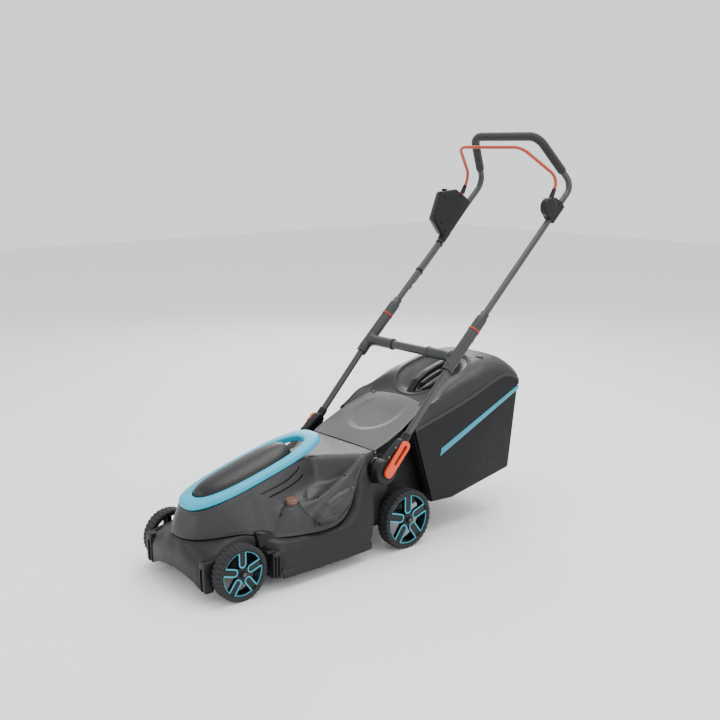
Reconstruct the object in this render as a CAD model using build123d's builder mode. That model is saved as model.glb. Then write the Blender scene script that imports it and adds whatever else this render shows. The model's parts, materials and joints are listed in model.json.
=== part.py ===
from build123d import *
import math
import os

# Battery rotary lawn mower with a rear grass box.
# Working frame: x = 0 on the middle plane, y = 0 half way between the axles, z = 0 on the ground.
# Every piece is written with y moved by -ROW_Y, so that the stored origin is under the middle of
# the whole outline.  +X is the machine's left side, -Y is forward, +Z is up.  Millimetres.

os.makedirs("parts", exist_ok=True)

# ------------------------------------------------------------------ driving dimensions
ROW_Y = 307.2            # from half way between the axles back to the middle of the outline
AXLE_Y = 282.5           # half the wheelbase
FRONT_R = 75.0           # front wheel radius
REAR_R = 87.0            # rear wheel radius
FRONT_FACE = 193.8       # outer side face of a front tyre
REAR_FACE = 207.4        # outer side face of a rear tyre
FRONT_W = 38.0           # front tyre width
REAR_W = 42.0            # rear tyre width
AXLE_R = 6.0             # axle rod radius
CRANK = (60.0, 16.0)     # wheel axis forward of and above its crank pivot
SKIRT_Z = 31.0           # lowest edge of the side skirts
ROOF_Z = 104.0           # underside of the deck roof plate
BLADE_L = 366.0          # blade tip circle
BLADE_Y = -10.0          # blade axis
PIVOT = (200.7, 245.6)   # handle fold axis, y and z
TUBE_X = 191.0           # handle tube axis from the middle plane
TUBE_R = 10.0            # handle tube radius
BEND = (452.0, 511.5)    # where the lower tube meets the upper line, y and z
UP_ANGLE = 43.4          # slope of the upper tubes
RING_SLOPE = 15.27       # slope of the carry ring
FLAP_SLOPE = 23.8        # slope of the rear flap
FLAP_AXIS = (212.0, 287.0)
BOX_HALF = 172.0         # half width of the grass box
RUN = 0.05               # radial running clearance

ring_slope = math.radians(RING_SLOPE)
up = (math.cos(math.radians(UP_ANGLE)), math.sin(math.radians(UP_ANGLE)))
low_angle = math.atan2(BEND[1] - PIVOT[1], BEND[0] - PIVOT[0])
low = (math.cos(low_angle), math.sin(low_angle))
RING_PLANE = Plane(
    origin=(0, -311, 220), x_dir=(1, 0, 0), z_dir=(0, -math.sin(ring_slope), math.cos(ring_slope))
)


def ring_z(y):
    """Height of the carry ring's base plane at y."""
    return 220 + math.tan(ring_slope) * (y + 311)


def on_upper(s):
    """y, z of the point s mm up the upper tube line from the bend."""
    return (BEND[0] + up[0] * s, BEND[1] + up[1] * s)


def on_lower(s):
    """y, z of the point s mm up the lower tube line from the fold axis."""
    return (PIVOT[0] + low[0] * s, PIVOT[1] + low[1] * s)


def write(builder, label):
    """Label the finished piece, put it in the stored frame and write its STEP file."""
    piece = builder.part.moved(Location((0, -ROW_Y, 0)))
    piece.label = label
    export_step(piece, f"parts/{label}.step")


def rod(a, b, r, bore=0.0, mode=Mode.ADD):
    """Round bar, or tube with a bore, from a to b."""
    a, b = Vector(*a), Vector(*b)
    with BuildSketch(Plane(origin=a, z_dir=(b - a).normalized())) as section:
        Circle(r)
        if bore:
            Circle(bore, mode=Mode.SUBTRACT)
    extrude(to_extrude=section.sketch, amount=(b - a).length, mode=mode)


def block(lo, hi, mode=Mode.ADD):
    """Box between two corners."""
    with Locations(((lo[0] + hi[0]) / 2, (lo[1] + hi[1]) / 2, (lo[2] + hi[2]) / 2)):
        Box(hi[0] - lo[0], hi[1] - lo[1], hi[2] - lo[2], mode=mode)


def side_plate(points, x0, x1, mode=Mode.ADD):
    """Plate with a (y, z) outline, from x0 to x1."""
    with BuildSketch(Plane.YZ.offset(x0)) as outline:
        with BuildLine():
            Polyline(*points, close=True)
        make_face()
    extrude(to_extrude=outline.sketch, amount=x1 - x0, mode=mode)


def ribs(stations, mode=Mode.ADD):
    """Ruled solid through symmetric cross-sections: (y, [(x, z) from the middle out], bottom z or None)."""
    sections = []
    for y, half, base in stations:
        # a slight crown keeps every corner of the outline a true corner
        half = [(x, z - 0.00003 * x * x) for x, z in half]
        left = [(-x, z) for x, z in half[::-1] if x > 0]
        points = left + list(half)
        if base is not None:
            points += [(half[-1][0], base), (-half[-1][0], base)]
        with BuildSketch(Plane(origin=(0, y, 0), x_dir=(1, 0, 0), z_dir=(0, -1, 0))) as cut:
            with BuildLine():
                Polyline(*points, close=True)
            make_face()
        sections.append(cut.sketch.face())
    loft(sections=sections, ruled=True, mode=mode)


def oval(centre, half_long, half_wide, power, count=40):
    """Points of a rounded-rectangle-like oval about (0, centre)."""
    points = []
    for i in range(count):
        t = 2 * math.pi * i / count
        c, s = math.cos(t), math.sin(t)
        points.append(
            (
                half_wide * math.copysign(abs(c) ** (2 / power), c),
                centre + half_long * math.copysign(abs(s) ** (2 / power), s),
            )
        )
    return points


def oval_face(plane, centre, half_long, half_wide, power):
    """Smooth oval face on a plane."""
    with BuildSketch(plane) as sketch:
        with BuildLine():
            Spline(*oval(centre, half_long, half_wide, power), periodic=True)
        make_face()
    return sketch.sketch


# ------------------------------------------------------------------ deck housing
# Seam between deck and hood: (y, half width, height)
SEAM = [
    (-358, 29, 141), (-350, 44, 141), (-338, 62, 142), (-326, 74, 143), (-300, 93, 145),
    (-270, 113, 150), (-235, 133, 153), (-215, 143, 147), (-195, 152, 140), (-140, 168, 129),
    (-80, 173, 122), (-20, 175, 116), (15, 174, 117), (50, 173, 122), (95, 169, 160),
    (130, 161, 238), (165, 151, 281), (203, 141, 285),
]

def between(table, y):
    """Value of a piecewise-linear table of (y, value) at y."""
    for (y0, v0), (y1, v1) in zip(table, table[1:]):
        if y <= y1:
            return v0 + (v1 - v0) * (y - y0) / (y1 - y0)
    return table[-1][1]


SEAM_W = [(y, w) for y, w, z in SEAM]
SEAM_H = [(y, z) for y, w, z in SEAM]
# shoulder corner and side wall of the deck below the seam: (y, x) and (y, z)
SHOULDER_X = [(-350, 90), (-338, 112), (-326, 122), (-270, 134), (-235, 137), (-212, 146), (-195, 158), (-163, 182), (-107, 188), (-20, 190), (50, 190), (95, 189), (130, 184), (165, 176), (203, 168)]
SHOULDER_Z = [(-350, 128), (-338, 132), (-326, 136), (-270, 146), (-235, 150), (-212, 142), (-195, 134), (-163, 117), (-107, 110), (-20, 105), (50, 109), (95, 128), (130, 178), (165, 228), (203, 232)]
WALL_X = [(-350, 130), (-338, 139), (-326, 141), (-235, 141), (-212, 141), (-195, 160), (-163, 197), (-107, 199), (-20, 200), (50, 200), (95, 199), (130, 193), (165, 181), (203, 174)]
WALL_Z = [(-350, 100), (-326, 112), (-235, 120), (-163, 102), (-107, 98), (50, 95), (95, 100), (130, 120), (165, 178), (203, 180)]


def deck_station(y, base):
    w, h = between(SEAM_W, y), between(SEAM_H, y)
    return (y, [(0, h - 0.7), (w + 0.6, h - 0.7), (max(between(SHOULDER_X, y), w + 1.5), between(SHOULDER_Z, y)), (max(between(WALL_X, y), w + 2), between(WALL_Z, y))], base)


FRONT_PIVOT = (-AXLE_Y + CRANK[0], FRONT_R - CRANK[1])
REAR_PIVOT = (AXLE_Y + CRANK[0], REAR_R - CRANK[1])
LEVER_ARM = 65.0          # height link lever, pivot to pin
LEAN = math.radians(17.5)  # lean of that lever at rest, half the crank's travel

with BuildPart() as deck_housing:
    ribs([
        (-374, [(0, 96), (40, 96), (54, 86), (60, 75)], 58),
        (-362, [(0, 128), (60, 124), (98, 112), (118, 90)], 56),
        deck_station(-350, 56),
    ])
    ribs([deck_station(y, 56) for y in (-350, -338, -326, -300, -270, -235, -215, -195, -175, -163)])
    ribs([deck_station(y, 56) for y in (-163, -140, -80, -20, 15, 50, 95, 130, 146)])
    ribs([deck_station(y, 110) for y in (146, 165, 203)] + [
        (235, [(0, 283), (139, 283), (164, 235), (171, 180)], 110),
    ])
    ribs([
        (-163.2, [(0, 60), (182, 60), (196, 58), (198, 54)], SKIRT_Z),
        (-107, [(0, 60), (185, 60), (199, 58), (203, 45)], SKIRT_Z),
        (-18, [(0, 60), (186, 60), (200, 58), (204, 44)], SKIRT_Z),
        (50, [(0, 60), (186, 60), (200, 58), (203, 44)], SKIRT_Z),
        (146, [(0, 60), (186, 60), (198, 58), (200, 45)], SKIRT_Z),
    ])
    for side in (-1, 1):
        # front legs, ribbed comb behind the front wheel, and the cover over the axle arm
        block((min(side * 112, side * 147), -371, 27), (max(side * 112, side * 147), -341, 112))
        for k in range(3):
            block((min(side * 150, side * 192), -190 + 9 * k, 36), (max(side * 150, side * 192), -186 + 9 * k, 104))
        block((min(side * 118, side * 160), -214, 112), (max(side * 118, side * 160), -168, 133.5))
    # wheel arch over each rear wheel, and flats round the handle pivots
    for side in (-1, 1):
        rod((side * 158, AXLE_Y, 87), (side * 230, AXLE_Y, 87), 102, mode=Mode.SUBTRACT)
        rod((side * 158, PIVOT[0], PIVOT[1]), (side * 230, PIVOT[0], PIVOT[1]), 41, mode=Mode.SUBTRACT)
    # inside: blade chamber, nose, hollow above the roof plate, grass duct
    ribs([
        (-157, [(0, 60), (176, 60), (190, 58), (192, 50)], 20),
        (-107, [(0, 60), (180, 60), (193, 58), (197, 45)], 20),
        (50, [(0, 60), (180, 60), (194, 58), (197, 44)], 20),
        (92, [(0, 60), (180, 60), (193, 58), (196, 45)], 20),
    ], mode=Mode.SUBTRACT)
    ribs([
        (-157, [(0, ROOF_Z), (150, ROOF_Z), (176, ROOF_Z - 2), (188, 88)], 50),
        (-107, [(0, ROOF_Z), (150, ROOF_Z), (180, ROOF_Z - 4), (192, 88)], 50),
        (50, [(0, ROOF_Z), (150, ROOF_Z), (180, ROOF_Z - 6), (193, 86)], 50),
        (92, [(0, ROOF_Z), (150, ROOF_Z), (180, ROOF_Z - 3), (192, 88)], 50),
    ], mode=Mode.SUBTRACT)
    block((-134, -350, 0), (134, -205, ROOF_Z), mode=Mode.SUBTRACT)
    block((-134, -200, 62), (134, -163, ROOF_Z), mode=Mode.SUBTRACT)
    ribs([
        (-338, [(0, 170), (10, 170), (50, 170), (54, 170)], ROOF_Z + 6),
        (-322, [(0, 170), (20, 170), (70, 170), (74, 170)], ROOF_Z + 6),
        (-280, [(0, 170), (40, 170), (98, 170), (103, 170)], ROOF_Z + 6),
        (-235, [(0, 170), (60, 170), (124, 170), (128, 170)], ROOF_Z + 6),
        (-190, [(0, 170), (60, 170), (145, 170), (149, 170)], ROOF_Z + 6),
        (-107, [(0, 170), (60, 170), (163, 170), (167, 170)], ROOF_Z + 6),
        (50, [(0, 170), (60, 170), (165, 170), (169, 170)], ROOF_Z + 6),
        (94, [(0, 300), (60, 300), (160, 300), (163, 300)], ROOF_Z + 6),
    ], mode=Mode.SUBTRACT)
    block((-125, 92, 20), (125, 99, ROOF_Z), mode=Mode.SUBTRACT)
    block((-125, 99, 20), (125, 240, 276), mode=Mode.SUBTRACT)
    for side in (-1, 1):
        block((min(side * 131, side * 155), 102, 20), (max(side * 131, side * 155), 228, 205), mode=Mode.SUBTRACT)
        block((min(side * 155, side * 188), 99, 20), (max(side * 155, side * 188), 140, 96), mode=Mode.SUBTRACT)
        block((min(side * 131, side * 155), 150, 205), (max(side * 131, side * 155), 228, 212), mode=Mode.SUBTRACT)
    # duct side plates with the bearing for the rear axle, duct floor
    for side in (-1, 1):
        side_plate(
            [(200, 62), (356, 57), (358, 92), (404, 102), (322, 337), (225, 296), (206, 287), (200, 270)],
            min(side * 125, side * 131), max(side * 125, side * 131),
        )
        rod((side * 126, *REAR_PIVOT), (side * 142, *REAR_PIVOT), 15)
        rod((side * 126, *FLAP_AXIS), (side * 138, *FLAP_AXIS), 6.5)
        # front axle bearings under the nose
        rod((side * 122, *FRONT_PIVOT), (side * 136, *FRONT_PIVOT), 15)
        block((min(side * 122, side * 136), -236, 60), (max(side * 122, side * 136), -209, ROOF_Z + 1))
        # pocket and hole for the handle's pivot bolt
        rod((side * 128, *PIVOT), (side * 151.3, *PIVOT), 10.5, mode=Mode.SUBTRACT)
        rod((side * 150, *PIVOT), (side * 160, *PIVOT), 5 + RUN, mode=Mode.SUBTRACT)
    block((-126, 225, 106), (126, 396, 110))
    # holes: axles, flap rod, motor
    rod((-160, *REAR_PIVOT), (160, *REAR_PIVOT), AXLE_R + RUN, mode=Mode.SUBTRACT)
    rod((-160, *FRONT_PIVOT), (160, *FRONT_PIVOT), AXLE_R + RUN, mode=Mode.SUBTRACT)
    rod((-160, *FLAP_AXIS), (160, *FLAP_AXIS), 3.0, mode=Mode.SUBTRACT)
    rod((0, BLADE_Y, 90), (0, BLADE_Y, 125), 40, mode=Mode.SUBTRACT)
    # the blade's circle is clear all round, with a low wall in front of it
    rod((0, BLADE_Y, 20), (0, BLADE_Y, 79), BLADE_L / 2 + 4, mode=Mode.SUBTRACT)
    block((-134.5, -205, 46), (134.5, -200, 62))
    # channel for the height link along the right side, and room for its front lever
    block((-148.5, -258, 108), (-141.2, -150, 140), mode=Mode.SUBTRACT)
    block((-148.5, 88, 112), (-141.2, 245, 152), mode=Mode.SUBTRACT)
    block((-157, -216, 96), (-141.2, -172, 150), mode=Mode.SUBTRACT)
    block((-157, -254, 50), (-141.2, -196, 138), mode=Mode.SUBTRACT)
    # room for the axle arms and for the flap's front edge
    for side in (-1, 1):
        rod((side * 141.5, *FRONT_PIVOT), (side * 170, *FRONT_PIVOT), 13, mode=Mode.SUBTRACT)
    rod((-125, *FLAP_AXIS), (125, *FLAP_AXIS), 9, mode=Mode.SUBTRACT)
write(deck_housing, "deck_housing")

# ------------------------------------------------------------------ motor hood
HOOD = [
    (-358, [(0, 153), (6, 153), (12, 152), (16, 151), (20, 149), (24, 147), (27, 144), (29, 141)]),
    (-350, [(0, 176), (8, 176), (16, 175), (24, 172), (30, 168), (36, 160), (41, 150), (44, 141)]),
    (-338, [(0, 199), (12, 199), (22, 198), (32, 195), (42, 188), (52, 175), (58, 158), (62, 142)]),
    (-326, [(0, 209), (14, 209), (28, 208.5), (42, 206), (54, 198), (64, 180), (70, 160), (74, 143)]),
    (-300, [(0, 218), (20, 218), (40, 218), (54, 217), (64, 212), (76, 195), (86, 170), (93, 145)]),
    (-270, [(0, 231), (16, 231), (27, 231), (31, 226), (69, 226), (82, 205), (98, 178), (113, 150)]),
    (-235, [(0, 240.5), (25, 240.5), (40, 240.5), (43.5, 235.5), (74, 235.5), (92, 208), (112, 180), (133, 153)]),
    (-195, [(0, 251.5), (30, 251.5), (47, 251.5), (50.5, 246.5), (76, 246.5), (98, 215), (124, 180), (152, 140)]),
    (-140, [(0, 266.5), (30, 266.5), (49, 266.5), (52.5, 261.5), (77, 261.5), (105, 222), (138, 180), (168, 129)]),
    (-80, [(0, 283), (30, 283), (49, 283), (52.5, 278), (77, 278), (106, 226), (140, 190), (173, 122)]),
    (-20, [(0, 299), (30, 299), (49, 299), (52.5, 294), (70, 292), (92, 226), (150, 199), (175, 116)]),
    (15, [(0, 305), (25, 305), (45, 303), (52, 299), (60, 289), (84, 234), (152, 212), (174, 117)]),
    (50, [(0, 290), (22, 290), (40, 288), (52, 282), (62, 270), (88, 236), (152, 226), (173, 122)]),
    (95, [(0, 287), (25, 287), (50, 286), (66, 280), (80, 268), (104, 250), (150, 248), (169, 160)]),
    (130, [(0, 289), (25, 289), (50, 289), (75, 287), (95, 282), (118, 272), (147, 273), (161, 238)]),
    (165, [(0, 292), (30, 292), (60, 292), (85, 291.5), (105, 290.5), (125, 289.5), (143, 290), (151, 281)]),
    (203, [(0, 293), (30, 293), (60, 293), (85, 293), (105, 293), (125, 293), (137, 293), (141, 285)]),
]
SCREWS = [(136, 168, 290), (150, 88, 244.5), (150, -8, 203.5)]
LID_AXIS = (-279.0, 240.7)
with BuildPart() as motor_hood:
    ribs([(y, half, None) for y, half in HOOD])
    ribs([
        (y + (3 if y < -350 else 0) - (3 if y > 200 else 0),
         [(x * (half[-1][0] - 3.2) / half[-1][0], z - 4.5) for x, z in half], half[-1][1] - 9)
        for y, half in HOOD[1:-1]
    ], mode=Mode.SUBTRACT)
    extrude(to_extrude=oval_face(RING_PLANE.offset(-40), 183.5, 146, 49, 2.5), amount=60, mode=Mode.SUBTRACT)
    # raised round boss for the height button, and its bore
    rod((135, -84, 168), (135, -84, 200), 22)
    rod((135, -84, 120), (135, -84, 190), 30, mode=Mode.SUBTRACT)
    rod((135, -84, 180), (135, -84, 210), 14.5, mode=Mode.SUBTRACT)
    # cooling slots either side
    for side in (-1, 1):
        for k in range(2):
            side_plate(
                [(-148, 225 - 14 * k), (-40, 256 - 14 * k), (-40, 260 - 14 * k), (-148, 229 - 14 * k)],
                min(side * 70, side * 140), max(side * 70, side * 140), mode=Mode.SUBTRACT,
            )
    for sx, sy, sz in SCREWS:
        for side in (-1, 1):
            rod((side * sx, sy, sz - 9), (side * sx, sy, sz + 6), 4.0, mode=Mode.SUBTRACT)
    # ears for the lid hinge
    for side in (-1, 1):
        block((min(side * 12.5, side * 17.5), -282.5, 222), (max(side * 12.5, side * 17.5), -275.5, 243.8))
    rod((-20, *LID_AXIS), (20, *LID_AXIS), 1.5, mode=Mode.SUBTRACT)
    # groove in the rear edge, in which the flap's front edge turns
    rod((-147, *FLAP_AXIS), (147, *FLAP_AXIS), 11.4, mode=Mode.SUBTRACT)
write(motor_hood, "motor_hood")

with BuildPart() as hood_screws:
    for sx, sy, sz in SCREWS:
        for side in (-1, 1):
            rod((side * sx, sy, sz - 8), (side * sx, sy, sz - 1), 4.0)
            rod((side * sx, sy, sz - 2.5), (side * sx, sy, sz), 1.8, mode=Mode.SUBTRACT)
write(hood_screws, "hood_screws")

# ------------------------------------------------------------------ carry ring and battery lid
with BuildPart() as carry_handle:
    extrude(to_extrude=oval_face(RING_PLANE.offset(-3), 199.5, 226.5, 82, 2.8), amount=20)
    extrude(to_extrude=oval_face(RING_PLANE.offset(-5), 202.1, 180.4, 56.5, 2.5), amount=30, mode=Mode.SUBTRACT)
    # feet that hold the ring on the hood
    for fx, fv in ((70, 110), (72, 235)):
        for side in (-1, 1):
            rod(RING_PLANE.from_local_coords((side * fx, fv, -14)), RING_PLANE.from_local_coords((side * fx, fv, -1)), 5)
    try:
        chamfer(carry_handle.faces().sort_by(Axis((0, 0, 0), (0, -math.sin(ring_slope), math.cos(ring_slope))))[-1].edges(), 4)
    except Exception:
        print("ring chamfer left out")
write(carry_handle, "carry_handle")

with BuildPart() as battery_lid:
    for grow, mode in ((0.0, Mode.ADD), (-3.0, Mode.SUBTRACT)):
        layers = []
        for height, long, wide in (
            (3, 157, 54.5), (14, 156, 53.5), (25, 144, 46), (33, 124, 36), (38, 96, 23),
        ):
            layers.append(oval_face(RING_PLANE.offset(height + (grow if height > 3 else -1 if grow else 0)), 183.5, long + grow, wide + grow, 2.5).face())
        loft(sections=layers, ruled=True, mode=mode)
    # hinge barrel across the front end, with gaps for the hood's ears
    for side in (-1, 1):
        block((min(side * 12.2, side * 18), -292, 222), (max(side * 12.2, side * 18), -274.5, 252), mode=Mode.SUBTRACT)
    # lower edge of the front wall, cut back so that it swings clear of the hood
    block((-57, -293, 226), (57, -283.0, 231.2), mode=Mode.SUBTRACT)
    block((-12.2, -280, 233), (12.2, -272, 243))
    rod((-12.2, *LID_AXIS), (12.2, *LID_AXIS), 3.4)
    rod((-30, *LID_AXIS), (30, *LID_AXIS), 1.5 + RUN, mode=Mode.SUBTRACT)
write(battery_lid, "battery_lid")

with BuildPart() as hinge_pins:
    rod((-17.5, *LID_AXIS), (17.5, *LID_AXIS), 1.5)
    rod((-138, FLAP_AXIS[0], FLAP_AXIS[1]), (138, FLAP_AXIS[0], FLAP_AXIS[1]), 3.0)
write(hinge_pins, "hinge_pins")

# ------------------------------------------------------------------ height button
with BuildPart() as height_button:
    rod((135, -84, 176), (135, -84, 216), 14.0)
    rod((135, -84, 170), (135, -84, 176.5), 16.5)
    fillet(height_button.edges().filter_by(GeomType.CIRCLE).sort_by(Axis.Z)[-1], 4)
write(height_button, "height_button")

# ------------------------------------------------------------------ motor, rotor and blade
with BuildPart() as motor_housing:
    rod((0, BLADE_Y, 110), (0, BLADE_Y, 204), 58)
    rod((0, BLADE_Y, 120), (0, BLADE_Y, 192), 52, mode=Mode.SUBTRACT)
    rod((0, BLADE_Y, 100), (0, BLADE_Y, 210), 16, mode=Mode.SUBTRACT)
    with BuildSketch(Plane(origin=(0, BLADE_Y, 110))) as ears:
        with PolarLocations(64, 4, 45):
            Circle(10)
    extrude(amount=6)
    rod((0, BLADE_Y, 105), (0, BLADE_Y, 120), 16, mode=Mode.SUBTRACT)
write(motor_housing, "motor_housing")

with BuildPart() as motor_bearings:
    rod((0, BLADE_Y, 110), (0, BLADE_Y, 119), 16, 8 + RUN)
    rod((0, BLADE_Y, 193), (0, BLADE_Y, 203), 16, 8 + RUN)
write(motor_bearings, "motor_bearings")

with BuildPart() as rotor_shaft:
    rod((0, BLADE_Y, 52), (0, BLADE_Y, 203), 8)
    rod((0, BLADE_Y, 126), (0, BLADE_Y, 186), 44)
write(rotor_shaft, "rotor_shaft")

with BuildPart() as blade_carrier:
    rod((0, BLADE_Y, 60), (0, BLADE_Y, 70), 42, 8)
    rod((0, BLADE_Y, 70), (0, BLADE_Y, 92), 16, 8)
    with PolarLocations(30, 6):
        pass
    for k in range(6):
        a = math.radians(60 * k)
        side = Plane(origin=(30 * math.cos(a), BLADE_Y + 30 * math.sin(a), 70), x_dir=(math.cos(a), math.sin(a), 0), z_dir=(0, 0, 1))
        with BuildSketch(side) as vane:
            Rectangle(20, 3)
        extrude(to_extrude=vane.sketch, amount=12)
write(blade_carrier, "blade_carrier")

with BuildPart() as blade:
    with BuildSketch(Plane.XY.offset(56)) as bar:
        with Locations((0, BLADE_Y)):
            SlotOverall(BLADE_L, 52)
            Circle(8, mode=Mode.SUBTRACT)
    extrude(amount=4)
    for side in (-1, 1):
        # ground cutting edge and raised lifting wing at each end
        with BuildSketch(Plane.YZ.offset(side * 90)) as wedge:
            with BuildLine():
                Polyline((BLADE_Y - side * 26.5, 56), (BLADE_Y - side * 26.5, 60.5), (BLADE_Y - side * 19, 60.5), close=True)
            make_face()
        extrude(to_extrude=wedge.sketch, amount=side * 95, mode=Mode.SUBTRACT)
        with BuildSketch(Plane.YZ.offset(side * 118)) as wing:
            with BuildLine():
                Polyline((BLADE_Y + side * 16, 59), (BLADE_Y + side * 25, 59), (BLADE_Y + side * 30, 74), (BLADE_Y + side * 26.5, 74), close=True)
            make_face()
        extrude(to_extrude=wing.sketch, amount=side * 45)
write(blade, "blade")

with BuildPart() as blade_bolt:
    with BuildSketch(Plane.XY.offset(44)):
        with Locations((0, BLADE_Y)):
            RegularPolygon(11, 6)
    extrude(amount=8)
    rod((0, BLADE_Y, 52), (0, BLADE_Y, 56), 20)
    rod((0, BLADE_Y, 51), (0, BLADE_Y, 57), 8, mode=Mode.SUBTRACT)
write(blade_bolt, "blade_bolt")

# ------------------------------------------------------------------ battery bay
with BuildPart() as battery_tray:
    with BuildSketch(RING_PLANE.offset(-62)) as floor:
        with Locations((0, 190)):
            RectangleRounded(94, 250, 10)
    extrude(amount=46)
    with BuildSketch(RING_PLANE.offset(-59)) as room:
        with Locations((0, 190)):
            RectangleRounded(88, 244, 8)
    extrude(amount=70, mode=Mode.SUBTRACT)
write(battery_tray, "battery_tray")

with BuildPart() as battery_packs:
    for centre in (130, 242):
        with BuildSketch(RING_PLANE.offset(-59)) as pack:
            with Locations((0, centre)):
                RectangleRounded(74, 106, 8)
        extrude(amount=50)
        with BuildSketch(RING_PLANE.offset(-9)) as grip:
            with Locations((0, centre)):
                RectangleRounded(40, 30, 6)
        extrude(amount=8)
write(battery_packs, "battery_packs")

with BuildPart() as safety_key:
    with BuildSketch(RING_PLANE.offset(-59)) as key:
        with Locations((0, 305)):
            RectangleRounded(26, 10, 3)
    extrude(amount=46)
    with BuildSketch(RING_PLANE.offset(-13)) as tab:
        with Locations((0, 305)):
            RectangleRounded(34, 6, 2)
    extrude(amount=16)
write(safety_key, "safety_key")

# ------------------------------------------------------------------ wheels
def wheel_sketch(r, finger, tip, sketch_plane):
    """Rim face cut by five rounded fingers that reach in from the edge to the tip radius."""
    with BuildSketch(sketch_plane) as face:
        Circle(r)
        for k in range(5):
            a = 90 + 72 * k
            with Locations(Rot(0, 0, a)):
                with Locations((tip + finger + 60, 0)):
                    RectangleRounded(120 + 2 * finger, 2 * finger, finger * 0.98, mode=Mode.SUBTRACT)
    return face.sketch


def make_wheel(corner, side, y, radius, face_x, width, trim_r, finger, tip):
    inner_x = face_x - width
    axis_z = radius
    tyre_in = trim_r + 0.6
    plane = Plane(origin=(0, y, axis_z), x_dir=(0, side, 0), z_dir=(side, 0, 0))
    web_in, web_out = face_x - 11, face_x - 5
    trim_out = face_x - 3.6
    with BuildPart() as tyre:
        with BuildSketch(plane.offset(inner_x)) as ring:
            Circle(radius)
            Circle(tyre_in, mode=Mode.SUBTRACT)
        extrude(to_extrude=ring.sketch, amount=width)
        with BuildSketch(plane.offset(face_x - 1)) as bead:
            Circle(tyre_in + 3)
        extrude(to_extrude=bead.sketch, amount=2, mode=Mode.SUBTRACT)
        with BuildSketch(plane.offset(inner_x - 1)) as grooves:
            count = 36
            for k in range(count):
                a = -90 + (k + 0.5) * 360 / count
                with Locations(Rot(0, 0, a)):
                    with Locations((radius, 0)):
                        Rectangle(5, 3.2)
        extrude(to_extrude=grooves.sketch, amount=width * 0.42, mode=Mode.SUBTRACT)
        with BuildSketch(plane.offset(face_x - width * 0.38)) as grooves2:
            for k in range(count):
                a = -90 + (k + 0.5) * 360 / count
                with Locations(Rot(0, 0, a)):
                    with Locations((radius, 0)):
                        Rectangle(5, 3.2)
        extrude(to_extrude=grooves2.sketch, amount=width, mode=Mode.SUBTRACT)
    write(tyre, f"tyre_{corner}")
    with BuildPart() as rim:
        with BuildSketch(plane.offset(inner_x + 3)) as barrel:
            Circle(tyre_in)
            Circle(tyre_in - 3.5, mode=Mode.SUBTRACT)
        extrude(to_extrude=barrel.sketch, amount=width - 8)
        with BuildSketch(plane.offset(web_in)) as web:
            Circle(tyre_in)
            add(wheel_sketch(trim_r - 4.2, finger, tip, Plane.XY), mode=Mode.SUBTRACT)
            Circle(tip + 3.5)
        extrude(to_extrude=web.sketch, amount=web_out - web_in)
        with BuildSketch(plane.offset(inner_x + 1.5)) as hub:
            Circle(14)
        extrude(to_extrude=hub.sketch, amount=width - 6)
        rod((side * (inner_x - 5), y, axis_z), (side * (face_x + 5), y, axis_z), AXLE_R + RUN, mode=Mode.SUBTRACT)
    write(rim, f"rim_{corner}")
    with BuildPart() as trim:
        with BuildSketch(plane.offset(web_out)) as line:
            add(wheel_sketch(trim_r - 0.6, finger - 3.6, tip + 3.6, Plane.XY))
            add(wheel_sketch(trim_r - 4.2, finger, tip, Plane.XY), mode=Mode.SUBTRACT)
        extrude(to_extrude=line.sketch, amount=trim_out - web_out)
    write(trim, f"trim_{corner}")


for side, name in ((1, "left"), (-1, "right")):
    make_wheel(f"front_{name}", side, -AXLE_Y, FRONT_R, FRONT_FACE, FRONT_W, 61.3, 11.5, 15.5)
    make_wheel(f"rear_{name}", side, AXLE_Y, REAR_R, REAR_FACE, REAR_W, 73.5, 13.5, 17.5)

# ------------------------------------------------------------------ cranked axles, caps and link
def make_axle(label, y, axis_z, arm_in, arm_out, stub_out):
    py, pz = y + CRANK[0], axis_z - CRANK[1]
    pin = (py + LEVER_ARM * math.sin(LEAN), pz + LEVER_ARM * math.cos(LEAN))

    def arm(cy, cz, x0, x1, half):
        """Round-ended plate from the crank pivot to another centre."""
        n = math.hypot(cy - py, cz - pz)
        ny, nz = -(cz - pz) / n * half, (cy - py) / n * half
        side_plate([(py + ny, pz + nz), (cy + ny, cz + nz), (cy - ny, cz - nz), (py - ny, pz - nz)], min(x0, x1), max(x0, x1))
        for ey, ez in ((cy, cz), (py, pz)):
            rod((x0, ey, ez), (x1, ey, ez), half)

    with BuildPart() as axle:
        rod((-arm_out, py, pz), (arm_out, py, pz), AXLE_R)
        for side in (-1, 1):
            rod((side * arm_in, y, axis_z), (side * stub_out, y, axis_z), AXLE_R)
            arm(y, axis_z, side * arm_in, side * arm_out, 9)
        # lever and pin for the height link, on the right-hand side
        arm(pin[0], pin[1], -153, -148, 7)
        rod((-148, *pin), (-142, *pin), 3)
    write(axle, label)


make_axle("front_axle", -AXLE_Y, FRONT_R, 143, 153, FRONT_FACE + 3.7)
make_axle("rear_axle", AXLE_Y, REAR_R, 148, 160, REAR_FACE + 3.2)
with BuildPart() as height_link:
    ends = [(p[0] + LEVER_ARM * math.sin(LEAN), p[1] + LEVER_ARM * math.cos(LEAN) + 1.5) for p in (FRONT_PIVOT, REAR_PIVOT)]
    side_plate([(ends[0][0], ends[0][1] - 6), (ends[1][0], ends[1][1] - 6), (ends[1][0], ends[1][1] + 6), (ends[0][0], ends[0][1] + 6)], -147.3, -142.3)
    for ey, ez in ends:
        rod((-147.3, ey, ez), (-142.3, ey, ez), 11)
    for ey, ez in ends:
        block((-150, ey - 3.35, ez - 4.5), (-140, ey + 3.35, ez + 4.5), mode=Mode.SUBTRACT)
        for dz in (-4.5, 4.5):
            rod((-150, ey, ez + dz), (-140, ey, ez + dz), 3.35, mode=Mode.SUBTRACT)
write(height_link, "height_link")

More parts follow.
